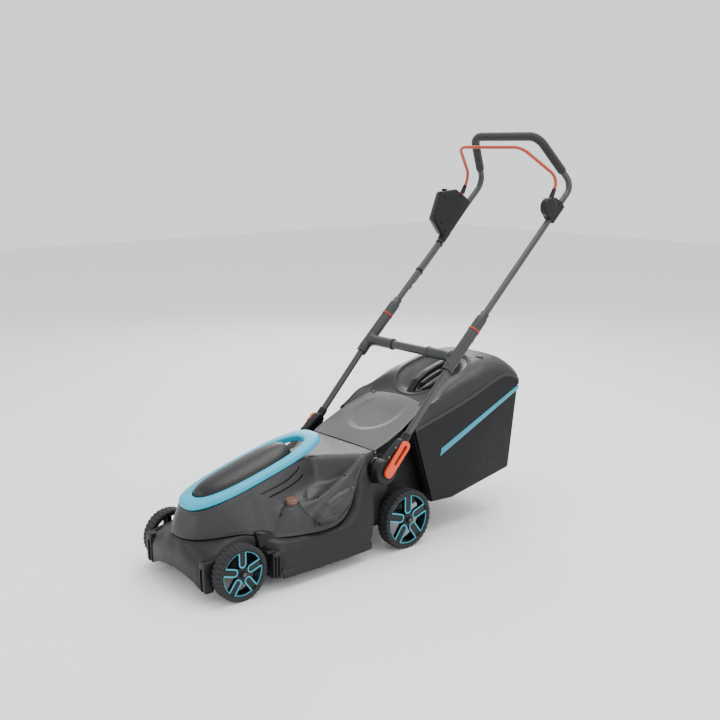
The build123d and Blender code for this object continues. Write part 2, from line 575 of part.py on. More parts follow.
for label, y, r, face, stub in (("front_axle_caps", -AXLE_Y, FRONT_R, FRONT_FACE, 3.7), ("rear_axle_caps", AXLE_Y, REAR_R, REAR_FACE, 3.2)):
    with BuildPart() as caps:
        for side in (-1, 1):
            rod((side * (face - 2.5), y, r), (side * (face + 7.2), y, r), 9.5)
            rod((side * (face - 4), y, r), (side * (face + stub), y, r), AXLE_R, mode=Mode.SUBTRACT)
    write(caps, label)

# ------------------------------------------------------------------ rear flap
with BuildPart() as rear_flap:
    flap_plane = Plane(origin=(0, 206, 296), x_dir=(1, 0, 0), z_dir=(0, -math.sin(math.radians(FLAP_SLOPE)), math.cos(math.radians(FLAP_SLOPE))))
    with BuildSketch(flap_plane.offset(-4)) as plate:
        with BuildLine():
            Polyline((-140, 0), (-146, 50), (-145, 110), (-132, 190), (-118, 231))
            ThreePointArc((-118, 231), (0, 249), (118, 231))
            Polyline((118, 231), (132, 190), (145, 110), (146, 50), (140, 0), (-140, 0))
        make_face()
    extrude(amount=4)
    rod((-121, FLAP_AXIS[0], FLAP_AXIS[1]), (121, FLAP_AXIS[0], FLAP_AXIS[1]), 6.5)
    side_plate([(206, 288), (206.5, 294), (222, 300), (216, 284)], -121, 121)
    for x0 in (-60, 30):
        block((x0, 200, 276), (x0 + 30, 219, 293.0), mode=Mode.SUBTRACT)
    rod((-125, FLAP_AXIS[0], FLAP_AXIS[1]), (125, FLAP_AXIS[0], FLAP_AXIS[1]), 3.0 + RUN, mode=Mode.SUBTRACT)
write(rear_flap, "rear_flap")

# ------------------------------------------------------------------ handle pivots
with BuildPart() as handle_brackets:
    for side in (-1, 1):
        rod((side * 158, PIVOT[0], PIVOT[1]), (side * 168, PIVOT[0], PIVOT[1]), 37)
        rod((side * 150, PIVOT[0], PIVOT[1]), (side * 175, PIVOT[0], PIVOT[1]), 5 + RUN, mode=Mode.SUBTRACT)
write(handle_brackets, "handle_brackets")

with BuildPart() as lower_tubes:
    for side in (-1, 1):
        a, b = on_lower(46), on_lower(math.hypot(BEND[0] - PIVOT[0], BEND[1] - PIVOT[1]) - 4)
        rod((side * TUBE_X, *a), (side * TUBE_X, *b), TUBE_R, TUBE_R - 1.5)
write(lower_tubes, "lower_tubes")

with BuildPart() as handle_sockets:
    for side in (-1, 1):
        rod((side * 170, PIVOT[0], PIVOT[1]), (side * 203.5, PIVOT[0], PIVOT[1]), 37)
        n = (-low[1] * 17, low[0] * 17)
        e = on_lower(96)
        side_plate(
            [(PIVOT[0] + n[0] * 1.6, PIVOT[1] + n[1] * 1.6), (e[0] + n[0], e[1] + n[1]), (e[0] - n[0], e[1] - n[1]), (PIVOT[0] - n[0] * 1.6, PIVOT[1] - n[1] * 1.6)],
            min(side * 177, side * 203), max(side * 177, side * 203),
        )
        rod((side * TUBE_X, *on_lower(60)), (side * TUBE_X, *on_lower(130)), 13)
    for side in (-1, 1):
        rod((side * TUBE_X, *on_lower(46)), (side * TUBE_X, *on_lower(240)), TUBE_R, mode=Mode.SUBTRACT)
        rod((side * 160, PIVOT[0], PIVOT[1]), (side * 210, PIVOT[0], PIVOT[1]), 5, mode=Mode.SUBTRACT)
write(handle_sockets, "handle_sockets")

HINGE_S = -6.5           # lever hinge, measured along the lever from the fold axis
hinge_yz = on_lower(HINGE_S)
across = (-low[1], low[0])
with BuildPart() as pivot_bolts:
    for side in (-1, 1):
        rod((side * 146, *PIVOT), (side * 204, *PIVOT), 5)
        rod((side * 146, *PIVOT), (side * 151, *PIVOT), 9)
        # flat eye that holds the lock lever
        p = [on_lower(HINGE_S - 0.1), on_lower(2)]
        side_plate(
            [(p[0][0] + across[0] * 2.4, p[0][1] + across[1] * 2.4), (p[1][0] + across[0] * 2.4, p[1][1] + across[1] * 2.4),
             (p[1][0] - across[0] * 2.4, p[1][1] - across[1] * 2.4), (p[0][0] - across[0] * 2.4, p[0][1] - across[1] * 2.4)],
            min(side * 204, side * 212), max(side * 204, side * 212),
        )
        c = hinge_yz
        rod((side * 209, c[0] - across[0] * 2.4, c[1] - across[1] * 2.4), (side * 209, c[0] + across[0] * 2.4, c[1] + across[1] * 2.4), 3.6)
        rod((side * 209, c[0] - across[0] * 6, c[1] - across[1] * 6), (side * 209, c[0] + across[0] * 6, c[1] + across[1] * 6), 1.75 + RUN, mode=Mode.SUBTRACT)
write(pivot_bolts, "pivot_bolts")

LEVER_L = 98.0
for side, name in ((1, "left"), (-1, "right")):
    with BuildPart() as lever:
        plane = Plane(origin=(side * 204.6, PIVOT[0], PIVOT[1]), x_dir=(0, low[0], low[1]), z_dir=(side, 0, 0))
        with BuildSketch(plane) as outline:
            with Locations((LEVER_L / 2, 0)):
                SlotCenterToCenter(LEVER_L, 22)
            with Locations((LEVER_L * 0.66, 0)):
                SlotCenterToCenter(LEVER_L * 0.5, 8, mode=Mode.SUBTRACT)
        extrude(to_extrude=outline.sketch, amount=9)
        # round heel about the hinge, so that it swings clear of the socket
        block_lo = plane.from_local_coords((-12, -12, -1))
        with BuildSketch(Plane(origin=plane.from_local_coords((HINGE_S, 0, 4.4)), x_dir=plane.x_dir, z_dir=plane.y_dir)) as heel:
            with Locations((-8, 0)):
                Rectangle(16, 12)
            Circle(4.4, mode=Mode.SUBTRACT)
        extrude(to_extrude=heel.sketch, amount=14, both=True, mode=Mode.SUBTRACT)
        # slot for the bolt's eye
        with BuildSketch(plane.offset(-1)) as slot:
            with Locations((-3, 0)):
                Rectangle(18, 5.6)
        extrude(to_extrude=slot.sketch, amount=12, mode=Mode.SUBTRACT)
        c = hinge_yz
        rod((side * 209, c[0] - across[0] * 7.5, c[1] - across[1] * 7.5), (side * 209, c[0] + across[0] * 7.5, c[1] + across[1] * 7.5), 1.75)
    write(lever, f"lock_lever_{name}")

# ------------------------------------------------------------------ tube connectors and crossbar
CROSS_S = (478.0 - BEND[0]) / up[0]
CROSS = on_upper(CROSS_S)
SLEEVE_S = (552.0 - BEND[0]) / up[0]
with BuildPart() as tube_connectors:
    for side in (-1, 1):
        rod((side * TUBE_X, *on_upper(0)), (side * TUBE_X, *on_upper(SLEEVE_S)), 17)
        rod((side * TUBE_X, *on_lower(352)), (side * TUBE_X, *BEND), 15)
        with Locations((side * TUBE_X, *BEND)):
            Sphere(16)
        rod((side * TUBE_X, *CROSS), (side * 76, *CROSS), 16.5)
    for side in (-1, 1):
        rod((side * TUBE_X, *on_upper(4)), (side * TUBE_X, *on_upper(SLEEVE_S + 5)), TUBE_R + 0.4, mode=Mode.SUBTRACT)
        rod((side * TUBE_X, *on_lower(320)), (side * TUBE_X, *on_lower(math.hypot(BEND[0] - PIVOT[0], BEND[1] - PIVOT[1]) - 4)), TUBE_R, mode=Mode.SUBTRACT)
        rod((side * (TUBE_X - 17), *CROSS), (side * 70, *CROSS), 13.5, mode=Mode.SUBTRACT)
write(tube_connectors, "tube_connectors")

with BuildPart() as crossbar:
    rod((-(TUBE_X - 17), *CROSS), (TUBE_X - 17, *CROSS), 13.5, 12)
write(crossbar, "crossbar")

with BuildPart() as connector_rings:
    for side in (-1, 1):
        rod((side * TUBE_X, *on_upper(SLEEVE_S)), (side * TUBE_X, *on_upper(SLEEVE_S + 3.5)), 17.8, TUBE_R + 0.4)
write(connector_rings, "connector_rings")

for side, name in ((1, "left"), (-1, "right")):
    with BuildPart() as collar:
        s0 = SLEEVE_S + 4.0
        rod((side * TUBE_X, *on_upper(s0)), (side * TUBE_X, *on_upper(s0 + 48)), 17)
        rod((side * TUBE_X, *on_upper(s0 + 47)), (side * TUBE_X, *on_upper(s0 + 66)), 14)
        rod((side * TUBE_X, *on_upper(s0 - 1)), (side * TUBE_X, *on_upper(s0 + 70)), TUBE_R + 0.4, mode=Mode.SUBTRACT)
    write(collar, f"twist_collar_{name}")

# ------------------------------------------------------------------ upper handle
TUBE_END_S = SLEEVE_S - 85
C1 = (TUBE_X, 991.0, BEND[1] + (991.0 - BEND[0]) * up[1] / up[0])
C2 = (134.0, 884.0, 1172.0)
upper_points = [
    (TUBE_X, *on_upper(TUBE_END_S)), C1, C2, (-C2[0], C2[1], C2[2]), (-C1[0], C1[1], C1[2]), (-TUBE_X, *on_upper(TUBE_END_S)),
]
with BuildPart() as upper_tube:
    with BuildLine() as path:
        FilletPolyline(*upper_points, radius=[40, 45, 45, 40])
    with BuildSketch(Plane(origin=path.wire() @ 0, z_dir=path.wire() % 0)) as section:
        Circle(TUBE_R)
        Circle(TUBE_R - 1.2, mode=Mode.SUBTRACT)
    sweep(sections=section.sketch, path=path.wire())
write(upper_tube, "upper_tube")

# The grip starts part of the way up the leaning arms
gdir = Vector(*C2) - Vector(*C1)
g0 = Vector(*C1) + gdir * 0.27
grip_points = [tuple(g0), C2, (-C2[0], C2[1], C2[2]), (-g0.X, g0.Y, g0.Z)]
with BuildPart() as foam_grip:
    with BuildLine() as path:
        FilletPolyline(*grip_points, radius=[45, 45])
    with BuildSketch(Plane(origin=path.wire() @ 0, z_dir=path.wire() % 0)) as section:
        Circle(14)
        Circle(TUBE_R, mode=Mode.SUBTRACT)
    sweep(sections=section.sketch, path=path.wire())
write(foam_grip, "foam_grip")

# bail and its pivots
BAIL_AXIS = (876.0, 960.0)
SWITCH_SCREWS = [(789.0, 978.0), (863.0, 979.0), (775.0, 894.0), (791.0, 867.0)]
with BuildPart() as switch_bail:
    with BuildLine() as path:
        FilletPolyline(
            (190, *BAIL_AXIS), (190, 922, 1045), (129, 812, 1136), (-129, 812, 1136), (-190, 922, 1045), (-190, *BAIL_AXIS),
            radius=[26, 24, 24, 26],
        )
    with BuildSketch(Plane(origin=path.wire() @ 0, z_dir=path.wire() % 0)) as section:
        Circle(4.5)
    sweep(sections=section.sketch, path=path.wire())
    for side in (-1, 1):
        rod((side * 185, *BAIL_AXIS), (side * 195, *BAIL_AXIS), 8)
        rod((side * 180, *BAIL_AXIS), (side * 200, *BAIL_AXIS), 4 + RUN, mode=Mode.SUBTRACT)
write(switch_bail, "switch_bail")

with BuildPart() as bail_pivot_housing:
    rod((177, *BAIL_AXIS), (204, *BAIL_AXIS), 27)
    t0 = on_upper((BAIL_AXIS[0] + 4 - BEND[0]) / up[0])
    t1 = on_upper((BAIL_AXIS[0] + 58 - BEND[0]) / up[0])
    nn = (-up[1] * 15, up[0] * 15)
    side_plate(
        [(t0[0] + nn[0], t0[1] + nn[1]), (t1[0] + nn[0], t1[1] + nn[1]), (t1[0] - nn[0], t1[1] - nn[1]), (t0[0] - nn[0], t0[1] - nn[1])],
        177, 205,
    )
    rod((TUBE_X, *on_upper(300)), (TUBE_X, *on_upper(760)), TUBE_R, mode=Mode.SUBTRACT)
    # chamber in which the bail's eye turns, open upwards
    rod((184, *BAIL_AXIS), (196, *BAIL_AXIS), 9.5, mode=Mode.SUBTRACT)
    side_plate([(868, 950), (878, 1010), (925, 1010), (890, 945)], 184, 196, mode=Mode.SUBTRACT)
    rod((180, *BAIL_AXIS), (200, *BAIL_AXIS), 4)
write(bail_pivot_housing, "bail_pivot_housing")

with BuildPart() as switch_housing:
    outline_pts = [(768, 997), (850, 1002), (893, 978), (921, 956), (806, 836), (772, 856), (727, 906)]
    side_plate(outline_pts, -214, -171)
    side_plate(
        [(772, 990), (846, 995), (882, 966), (870, 925), (806, 862), (776, 872), (736, 908)], -210, -175, mode=Mode.SUBTRACT,
    )
    # walls that clamp the tube
    t0, t1 = on_upper((812 - BEND[0]) / up[0]), on_upper((914 - BEND[0]) / up[0])
    rod((-TUBE_X, *t0), (-TUBE_X, *t1), 15)
    side_plate(outline_pts, -214, -171, mode=Mode.INTERSECT)
    rod((-TUBE_X, *on_upper(300)), (-TUBE_X, *on_upper(760)), TUBE_R, mode=Mode.SUBTRACT)
    rod((-196, *BAIL_AXIS), (-184, *BAIL_AXIS), 9.5, mode=Mode.SUBTRACT)
    side_plate([(868, 950), (878, 1015), (925, 1015), (890, 945)], -196, -184, mode=Mode.SUBTRACT)
    rod((-TUBE_X, 806, 970), (-TUBE_X, 806, 1010), 9.5, mode=Mode.SUBTRACT)
    rod((-212, *BAIL_AXIS), (-173, *BAIL_AXIS), 4)
write(switch_housing, "switch_housing")

with BuildPart() as start_button:
    rod((-TUBE_X, 806, 972), (-TUBE_X, 806, 1004.5), 9.0)
    rod((-TUBE_X, 806, 972), (-TUBE_X, 806, 977), 12.0)
write(start_button, "start_button")

# ------------------------------------------------------------------ grass box
CREASE = [
    (338, 334), (400, 351), (445, 362), (530, 385), (600, 407), (663, 430), (720, 444), (760, 436), (785, 419),
]
tub_outline = [(412, 100), (497, 95), (750, 140), (787, 413), (785, 418.5)] + [(y, z - 0.5) for y, z in CREASE[-2::-1]]
tub_inside = [(410, 104), (497, 98.5), (747, 143), (783.5, 413), (782, 460), (330, 460), (336, 330)]
with BuildPart() as box_tub:
    side_plate(tub_outline, -BOX_HALF, BOX_HALF)
    side_plate(tub_inside, -BOX_HALF + 2.5, BOX_HALF - 2.5, mode=Mode.SUBTRACT)
    # frame round the open mouth
    side_plate([(413, 103), (421, 103), (346, 334), (339, 331)], -BOX_HALF + 2, BOX_HALF - 2)
    side_plate([(400, 116), (440, 116), (378, 322), (330, 322)], -BOX_HALF + 24, BOX_HALF - 24, mode=Mode.SUBTRACT)
write(box_tub, "box_tub")

BOX_TOP = [
    (338, [(0, 346), (60, 346), (110, 346), (140, 346), (150, 350), (162, 349), (172, 335)]),
    (400, [(0, 371), (60, 371), (104, 371), (124, 373), (150, 393), (165, 378), (172, 352)]),
    (445, [(0, 392), (60, 393), (110, 396), (135, 401), (150, 405), (165, 391), (172, 363)]),
    (530, [(0, 440), (60, 443), (110, 445), (135, 443), (150, 437), (165, 416), (172, 386)]),
    (600, [(0, 469), (60, 470), (110, 467), (135, 460), (150, 452), (165, 433), (172, 408)]),
    (663, [(0, 487), (60, 488), (110, 484), (135, 477), (150, 467), (165, 449), (172, 431)]),
    (720, [(0, 494), (60, 493), (110, 489), (135, 482), (150, 474), (165, 460), (172, 445)]),
    (760, [(0, 492), (60, 491), (110, 485), (135, 476), (150, 468), (165, 454), (172, 437)]),
    (785, [(0, 470), (60, 469), (110, 465), (135, 460), (150, 452), (165, 438), (172, 420)]),
]
DISH = Plane(origin=(0, 565, 440), x_dir=(1, 0, 0), z_dir=(0, -math.sin(math.radians(18)), math.cos(math.radians(18))))
with BuildPart() as lid_outer:
    ribs([(y, half, None) for y, half in BOX_TOP])
with BuildPart() as box_lid:
    add(lid_outer.part)
    ribs([
        (y + (3.5 if y < 340 else 0) - (3.5 if y > 780 else 0), [(x * 0.978, z - 3.5) for x, z in half], half[-1][1] - 12)
        for y, half in BOX_TOP
    ], mode=Mode.SUBTRACT)
    with BuildPart(mode=Mode.PRIVATE) as bowl:
        extrude(to_extrude=oval_face(DISH.offset(-28), 6, 122, 109, 2.2), amount=100)
        add(lid_outer.part, mode=Mode.INTERSECT)
    add(bowl.part)
    extrude(to_extrude=oval_face(DISH.offset(-25), 6, 119, 106, 2.2), amount=100, mode=Mode.SUBTRACT)
write(box_lid, "box_lid")

with BuildPart() as box_handle:
    side_plate(
        [(457, 372), (462, 394), (474, 416), (492, 434), (522, 452), (562, 466), (610, 479), (648, 487), (664, 488),
         (672, 470), (655, 468), (612, 458), (564, 444), (530, 430), (506, 414), (492, 398), (487, 379)],
        -11, 11,
    )
write(box_handle, "box_handle")

with BuildPart() as box_stripes:
    for side in (-1, 1):
        side_plate(
            [(441, 240), (446, 262), (786, 406), (785.6, 391)],
            min(side * BOX_HALF, side * (BOX_HALF + 1.2)), max(side * BOX_HALF, side * (BOX_HALF + 1.2)),
        )
write(box_stripes, "box_stripes")

with BuildPart() as level_flap:
    with BuildSketch(Plane(origin=(0, 692, 0), x_dir=(1, 0, 0), z_dir=(0, -1, 0))) as strip:
        with BuildLine():
            Polyline((70, 493.8), (100, 491.4), (100, 493.2), (70, 495.6), close=True)
        make_face()
    extrude(to_extrude=strip.sketch, amount=-24)
write(level_flap, "level_flap")

# ------------------------------------------------------------------ small parts of the handle
bail_dir = Vector(0, 922 - BAIL_AXIS[0], 1045 - BAIL_AXIS[1]).normalized()
with BuildPart() as bail_boots:
    for side in (-1, 1):
        base = Vector(side * 190, *BAIL_AXIS)
        a, b = base + bail_dir * 30.5, base + bail_dir * 60
        with BuildSketch(Plane(origin=a, z_dir=bail_dir)) as wide:
            Circle(8)
        with BuildSketch(Plane(origin=b, z_dir=bail_dir)) as narrow:
            Circle(6)
        loft(sections=[wide.sketch.face(), narrow.sketch.face()])
        rod(tuple(base + bail_dir * 25), tuple(base + bail_dir * 65), 4.5, mode=Mode.SUBTRACT)
write(bail_boots, "bail_boots")

CABLE_R = 2.75
under = (up[1], -up[0])


def beside_tube(s, off):
    y, z = on_upper(s)
    return (-TUBE_X, y + under[0] * off, z + under[1] * off)


CABLE_OFF = TUBE_R + CABLE_R + 0.6
with BuildPart() as handle_cable:
    with BuildLine() as path:
        FilletPolyline(beside_tube(500, CABLE_OFF), beside_tube(292, CABLE_OFF), beside_tube(272, CABLE_OFF - 6), radius=[24])
    with BuildSketch(Plane(origin=path.wire() @ 0, z_dir=path.wire() % 0)) as section:
        Circle(CABLE_R)
    sweep(sections=section.sketch, path=path.wire())
write(handle_cable, "handle_cable")

with BuildPart() as cable_clips:
    for s in (330, 455):
        rod(beside_tube(s, 0), beside_tube(s + 8, 0), 12.4)
        rod(beside_tube(s, CABLE_OFF), beside_tube(s + 8, CABLE_OFF), 5)
    # grommet where the cable goes into the tube
    rod(beside_tube(262, 9), beside_tube(276, 9), 6)
    for s in (330, 455):
        rod(beside_tube(s - 1, CABLE_OFF), beside_tube(s + 9, CABLE_OFF), CABLE_R, mode=Mode.SUBTRACT)
    rod(beside_tube(255, 0), beside_tube(480, 0), TUBE_R, mode=Mode.SUBTRACT)
write(cable_clips, "cable_clips")

with BuildPart() as switch_screws:
    for sy, sz in SWITCH_SCREWS:
        rod((-171.0, sy, sz), (-169.8, sy, sz), 3.4)
        rod((-170.6, sy, sz), (-169.0, sy, sz), 1.4, mode=Mode.SUBTRACT)
write(switch_screws, "switch_screws")
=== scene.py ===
import json
import math

import bmesh
import bpy
import numpy as np
from mathutils import Matrix, Vector

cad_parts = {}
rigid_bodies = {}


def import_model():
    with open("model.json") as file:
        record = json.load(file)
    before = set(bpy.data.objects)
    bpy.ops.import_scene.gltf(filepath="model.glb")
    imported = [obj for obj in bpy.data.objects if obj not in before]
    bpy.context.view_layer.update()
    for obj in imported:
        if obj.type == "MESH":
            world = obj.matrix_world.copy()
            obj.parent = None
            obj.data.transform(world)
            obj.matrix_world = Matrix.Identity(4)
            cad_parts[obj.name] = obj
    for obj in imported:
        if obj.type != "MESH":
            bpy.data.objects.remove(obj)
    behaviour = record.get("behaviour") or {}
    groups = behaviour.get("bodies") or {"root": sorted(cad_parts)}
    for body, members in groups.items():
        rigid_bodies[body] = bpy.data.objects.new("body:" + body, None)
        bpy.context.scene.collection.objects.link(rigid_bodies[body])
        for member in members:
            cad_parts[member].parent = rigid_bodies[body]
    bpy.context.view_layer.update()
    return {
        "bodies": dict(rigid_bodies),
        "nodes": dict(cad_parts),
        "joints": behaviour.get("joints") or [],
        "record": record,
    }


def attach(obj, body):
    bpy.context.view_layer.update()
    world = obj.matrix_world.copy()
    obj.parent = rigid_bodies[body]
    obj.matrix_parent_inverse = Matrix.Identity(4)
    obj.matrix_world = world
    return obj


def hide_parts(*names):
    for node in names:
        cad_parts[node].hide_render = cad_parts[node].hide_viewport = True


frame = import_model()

# Working frame of the tables below: millimetres, y = 0 half way between the axles, as in the CAD.
ROW_Y = 307.2
BEND = (452.0, 511.5)
PIVOT = (200.7, 245.6)
UPA = math.radians(43.4)
UP = (math.cos(UPA), math.sin(UPA))
LOWA = math.atan2(BEND[1] - PIVOT[1], BEND[0] - PIVOT[0])
LOW = (math.cos(LOWA), math.sin(LOWA))
RING_A = math.radians(15.27)
TX = 191.0
BAIL = (876.0, 960.0)


def fr(P):
    P = np.array(P, float) / 1000.0
    P[..., 1] -= ROW_Y / 1000.0
    return P


def fv(x, y, z):
    return Vector((x / 1000.0, (y - ROW_Y) / 1000.0, z / 1000.0))


def on_upper(s):
    return (BEND[0] + UP[0] * s, BEND[1] + UP[1] * s)


def on_lower(s):
    return (PIVOT[0] + LOW[0] * s, PIVOT[1] + LOW[1] * s)


def ring_z(y):
    return 220 + math.tan(RING_A) * (y + 311)


def ring_point(u, v, n):
    """Point of the ring plane: u across, v up the slope, n along its normal."""
    return (u, -311 + v * math.cos(RING_A) - n * math.sin(RING_A), 220 + v * math.sin(RING_A) + n * math.cos(RING_A))


# ------------------------------------------------------------------ materials
def new_mat(name):
    m = bpy.data.materials.new(name)
    m.use_nodes = True
    nt = m.node_tree
    b = nt.nodes["Principled BSDF"]
    return m, nt, b


def coords(nt, scale=1.0):
    tc = nt.nodes.new("ShaderNodeTexCoord")
    mp = nt.nodes.new("ShaderNodeMapping")
    mp.inputs["Scale"].default_value = (scale, scale, scale)
    nt.links.new(tc.outputs["Object"], mp.inputs["Vector"])
    return mp.outputs["Vector"]


def noise(nt, vec, scale, detail=3.0, rough=0.55):
    n = nt.nodes.new("ShaderNodeTexNoise")
    n.inputs["Scale"].default_value = scale
    n.inputs["Detail"].default_value = detail
    n.inputs["Roughness"].default_value = rough
    nt.links.new(vec, n.inputs["Vector"])
    return n.outputs["Fac"]


def ramp(nt, fac, stops):
    r = nt.nodes.new("ShaderNodeValToRGB")
    el = r.color_ramp.elements
    while len(el) < len(stops):
        el.new(0.5)
    for e, (p, c) in zip(el, stops):
        e.position = p
        e.color = c if len(c) == 4 else (*c, 1)
    nt.links.new(fac, r.inputs["Fac"])
    return r.outputs["Color"]


def maprange(nt, fac, lo, hi, a=0.0, b=1.0):
    r = nt.nodes.new("ShaderNodeMapRange")
    r.inputs["From Min"].default_value = a
    r.inputs["From Max"].default_value = b
    r.inputs["To Min"].default_value = lo
    r.inputs["To Max"].default_value = hi
    nt.links.new(fac, r.inputs["Value"])
    return r.outputs["Result"]


def bump(nt, b, height, strength, dist, prev=None):
    n = nt.nodes.new("ShaderNodeBump")
    n.inputs["Strength"].default_value = strength
    n.inputs["Distance"].default_value = dist
    nt.links.new(height, n.inputs["Height"])
    if prev is not None:
        nt.links.new(prev, n.inputs["Normal"])
    nt.links.new(n.outputs["Normal"], b.inputs["Normal"])
    return n.outputs["Normal"]


def plastic(name, col, rough=0.45, grain=0.12, vary=0.10, grain_scale=900.0, spec=0.5, dust=0.0, edge_wear_and_highlight=0.25):
    """Moulded plastic: fine spark-eroded grain, slow colour and gloss changes, lighter convex edges that are partly
    rubbed-edge wear and partly a painted edge highlight.
    """
    m, nt, b = new_mat(name)
    vec = coords(nt)
    slow = noise(nt, vec, 9.0, 4.0)
    mid = noise(nt, vec, 55.0, 5.0, 0.6)
    fine = noise(nt, vec, grain_scale, 2.0, 0.5)
    c = np.array(col)
    base = ramp(nt, slow, [(0.3, tuple(c * (1 - vary))), (0.7, tuple(np.minimum(c * (1 + vary), 1)))])
    mix = nt.nodes.new("ShaderNodeMix")
    mix.data_type = "RGBA"
    mix.blend_type = "MULTIPLY"
    mix.inputs[0].default_value = 0.35
    nt.links.new(base, mix.inputs[6])
    nt.links.new(ramp(nt, mid, [(0.3, (0.82, 0.82, 0.82)), (0.7, (1, 1, 1))]), mix.inputs[7])
    out = mix.outputs[2]
    # lighter colour on sharp convex edges: rubbed-edge wear mixed with a painted edge highlight
    if edge_wear_and_highlight:
        geo = nt.nodes.new("ShaderNodeNewGeometry")
        edge = maprange(nt, geo.outputs["Pointiness"], 0.0, 1.0, 0.515, 0.60)
        mul = nt.nodes.new("ShaderNodeMath")
        mul.operation = "MULTIPLY"
        nt.links.new(edge, mul.inputs[0])
        nt.links.new(maprange(nt, mid, 0.0, edge_wear_and_highlight, 0.4, 0.65), mul.inputs[1])
        cl = nt.nodes.new("ShaderNodeClamp")
        nt.links.new(mul.outputs[0], cl.inputs[0])
        mx = nt.nodes.new("ShaderNodeMix")
        mx.data_type = "RGBA"
        nt.links.new(cl.outputs[0], mx.inputs[0])
        nt.links.new(out, mx.inputs[6])
        light = np.minimum(c * 1.5 + 0.03, 1)
        mx.inputs[7].default_value = (*light, 1)
        out = mx.outputs[2]
    nt.links.new(out, b.inputs["Base Color"])
    nt.links.new(maprange(nt, mid, rough - 0.06, rough + 0.07, 0.3, 0.7), b.inputs["Roughness"])
    b.inputs["Specular IOR Level"].default_value = spec
    if grain:
        bump(nt, b, fine, grain, 0.0004)
    return m


def metal_paint(name, col, rough=0.38, metallic=0.25):
    m, nt, b = new_mat(name)
    vec = coords(nt)
    slow = noise(nt, vec, 14.0, 4.0)
    fleck = noise(nt, vec, 1600.0, 1.0)
    c = np.array(col)
    base = ramp(nt, slow, [(0.3, tuple(c * 0.92)), (0.7, tuple(c * 1.08))])
    mix = nt.nodes.new("ShaderNodeMix")
    mix.data_type = "RGBA"
    mix.blend_type = "ADD"
    mix.inputs[0].default_value = 0.10
    nt.links.new(base, mix.inputs[6])
    nt.links.new(ramp(nt, fleck, [(0.55, (0, 0, 0)), (0.8, (0.6, 0.6, 0.62))]), mix.inputs[7])
    nt.links.new(mix.outputs[2], b.inputs["Base Color"])
    b.inputs["Metallic"].default_value = metallic
    nt.links.new(maprange(nt, slow, rough - 0.05, rough + 0.06, 0.3, 0.7), b.inputs["Roughness"])
    bump(nt, b, noise(nt, vec, 420.0, 2.0), 0.06, 0.0004)
    return m


def steel(name, col, rough=0.35):
    m, nt, b = new_mat(name)
    vec = coords(nt)
    brushed = nt.nodes.new("ShaderNodeMapping")
    brushed.inputs["Scale"].default_value = (40, 900, 900)
    nt.links.new(vec, brushed.inputs["Vector"])
    n = noise(nt, brushed.outputs["Vector"], 1.0, 3.0)
    c = np.array(col)
    nt.links.new(ramp(nt, n, [(0.3, tuple(c * 0.8)), (0.7, tuple(np.minimum(c * 1.1, 1)))]), b.inputs["Base Color"])
    b.inputs["Metallic"].default_value = 1.0
    nt.links.new(maprange(nt, n, rough - 0.08, rough + 0.1, 0.3, 0.7), b.inputs["Roughness"])
    bump(nt, b, n, 0.08, 0.0003)
    return m


def rubber(name, col, rough=0.75, scale=320.0, strength=0.35, dusty=0.0):
    m, nt, b = new_mat(name)
    vec = coords(nt)
    slow = noise(nt, vec, 22.0, 5.0, 0.6)
    fine = noise(nt, vec, scale, 4.0, 0.6)
    c = np.array(col)
    nt.links.new(ramp(nt, slow, [(0.3, tuple(c * 0.8)), (0.72, tuple(c * 1.25 + dusty))]), b.inputs["Base Color"])
    nt.links.new(maprange(nt, slow, rough - 0.08, rough + 0.1, 0.3, 0.7), b.inputs["Roughness"])
    b.inputs["Specular IOR Level"].default_value = 0.4
    bump(nt, b, fine, strength, 0.0006)
    return m


def foam_mat(name, col):
    m, nt, b = new_mat(name)
    vec = coords(nt)
    v = nt.nodes.new("ShaderNodeTexVoronoi")
    v.inputs["Scale"].default_value = 620.0
    nt.links.new(vec, v.inputs["Vector"])
    slow = noise(nt, vec, 30.0, 5.0, 0.6)
    c = np.array(col)
    nt.links.new(ramp(nt, slow, [(0.3, tuple(c * 0.8)), (0.7, tuple(c * 1.3))]), b.inputs["Base Color"])
    b.inputs["Roughness"].default_value = 0.88
    b.inputs["Sheen Weight"].default_value = 0.15
    p = bump(nt, b, v.outputs["Distance"], 0.5, 0.0005)
    bump(nt, b, slow, 0.15, 0.0015, p)
    return m


M_HOOD = plastic("hood_plastic", (0.026, 0.026, 0.027), rough=0.40, spec=0.30, edge_wear_and_highlight=0.12)
# the flap's base colour is lighter than the hood's grey: painted light for the sheen of the top lamp on the up-facing
# flap
M_FLAP = plastic("flap_plastic", (0.062, 0.062, 0.064), rough=0.40, spec=0.40, edge_wear_and_highlight=0.10)
M_LID = plastic("lid_plastic", (0.014, 0.0135, 0.014), rough=0.36, spec=0.30, edge_wear_and_highlight=0.1)
M_DECK = plastic("deck_plastic", (0.011, 0.011, 0.012), rough=0.42, spec=0.24, edge_wear_and_highlight=0.16)
M_BOX = plastic("box_plastic", (0.006, 0.0062, 0.0066), rough=0.5, grain=0.2, spec=0.16, edge_wear_and_highlight=0.1)
M_BOXLID = plastic("box_lid_plastic", (0.017, 0.017, 0.018), rough=0.40, spec=0.30, edge_wear_and_highlight=0.12)
M_BLACK = plastic("black_plastic", (0.006, 0.006, 0.007), rough=0.40, spec=0.24, edge_wear_and_highlight=0.12)
M_GLOSS = plastic("black_smooth", (0.004, 0.004, 0.005), rough=0.26, grain=0.04, spec=0.26, edge_wear_and_highlight=0.1)
M_CYAN = plastic("ring_cyan", (0.004, 0.365, 0.540), rough=0.36, vary=0.03, edge_wear_and_highlight=0.0, grain=0.06)
M_TEAL = plastic("trim_teal", (0.020, 0.310, 0.400), rough=0.36, vary=0.05, edge_wear_and_highlight=0.0, grain=0.05)
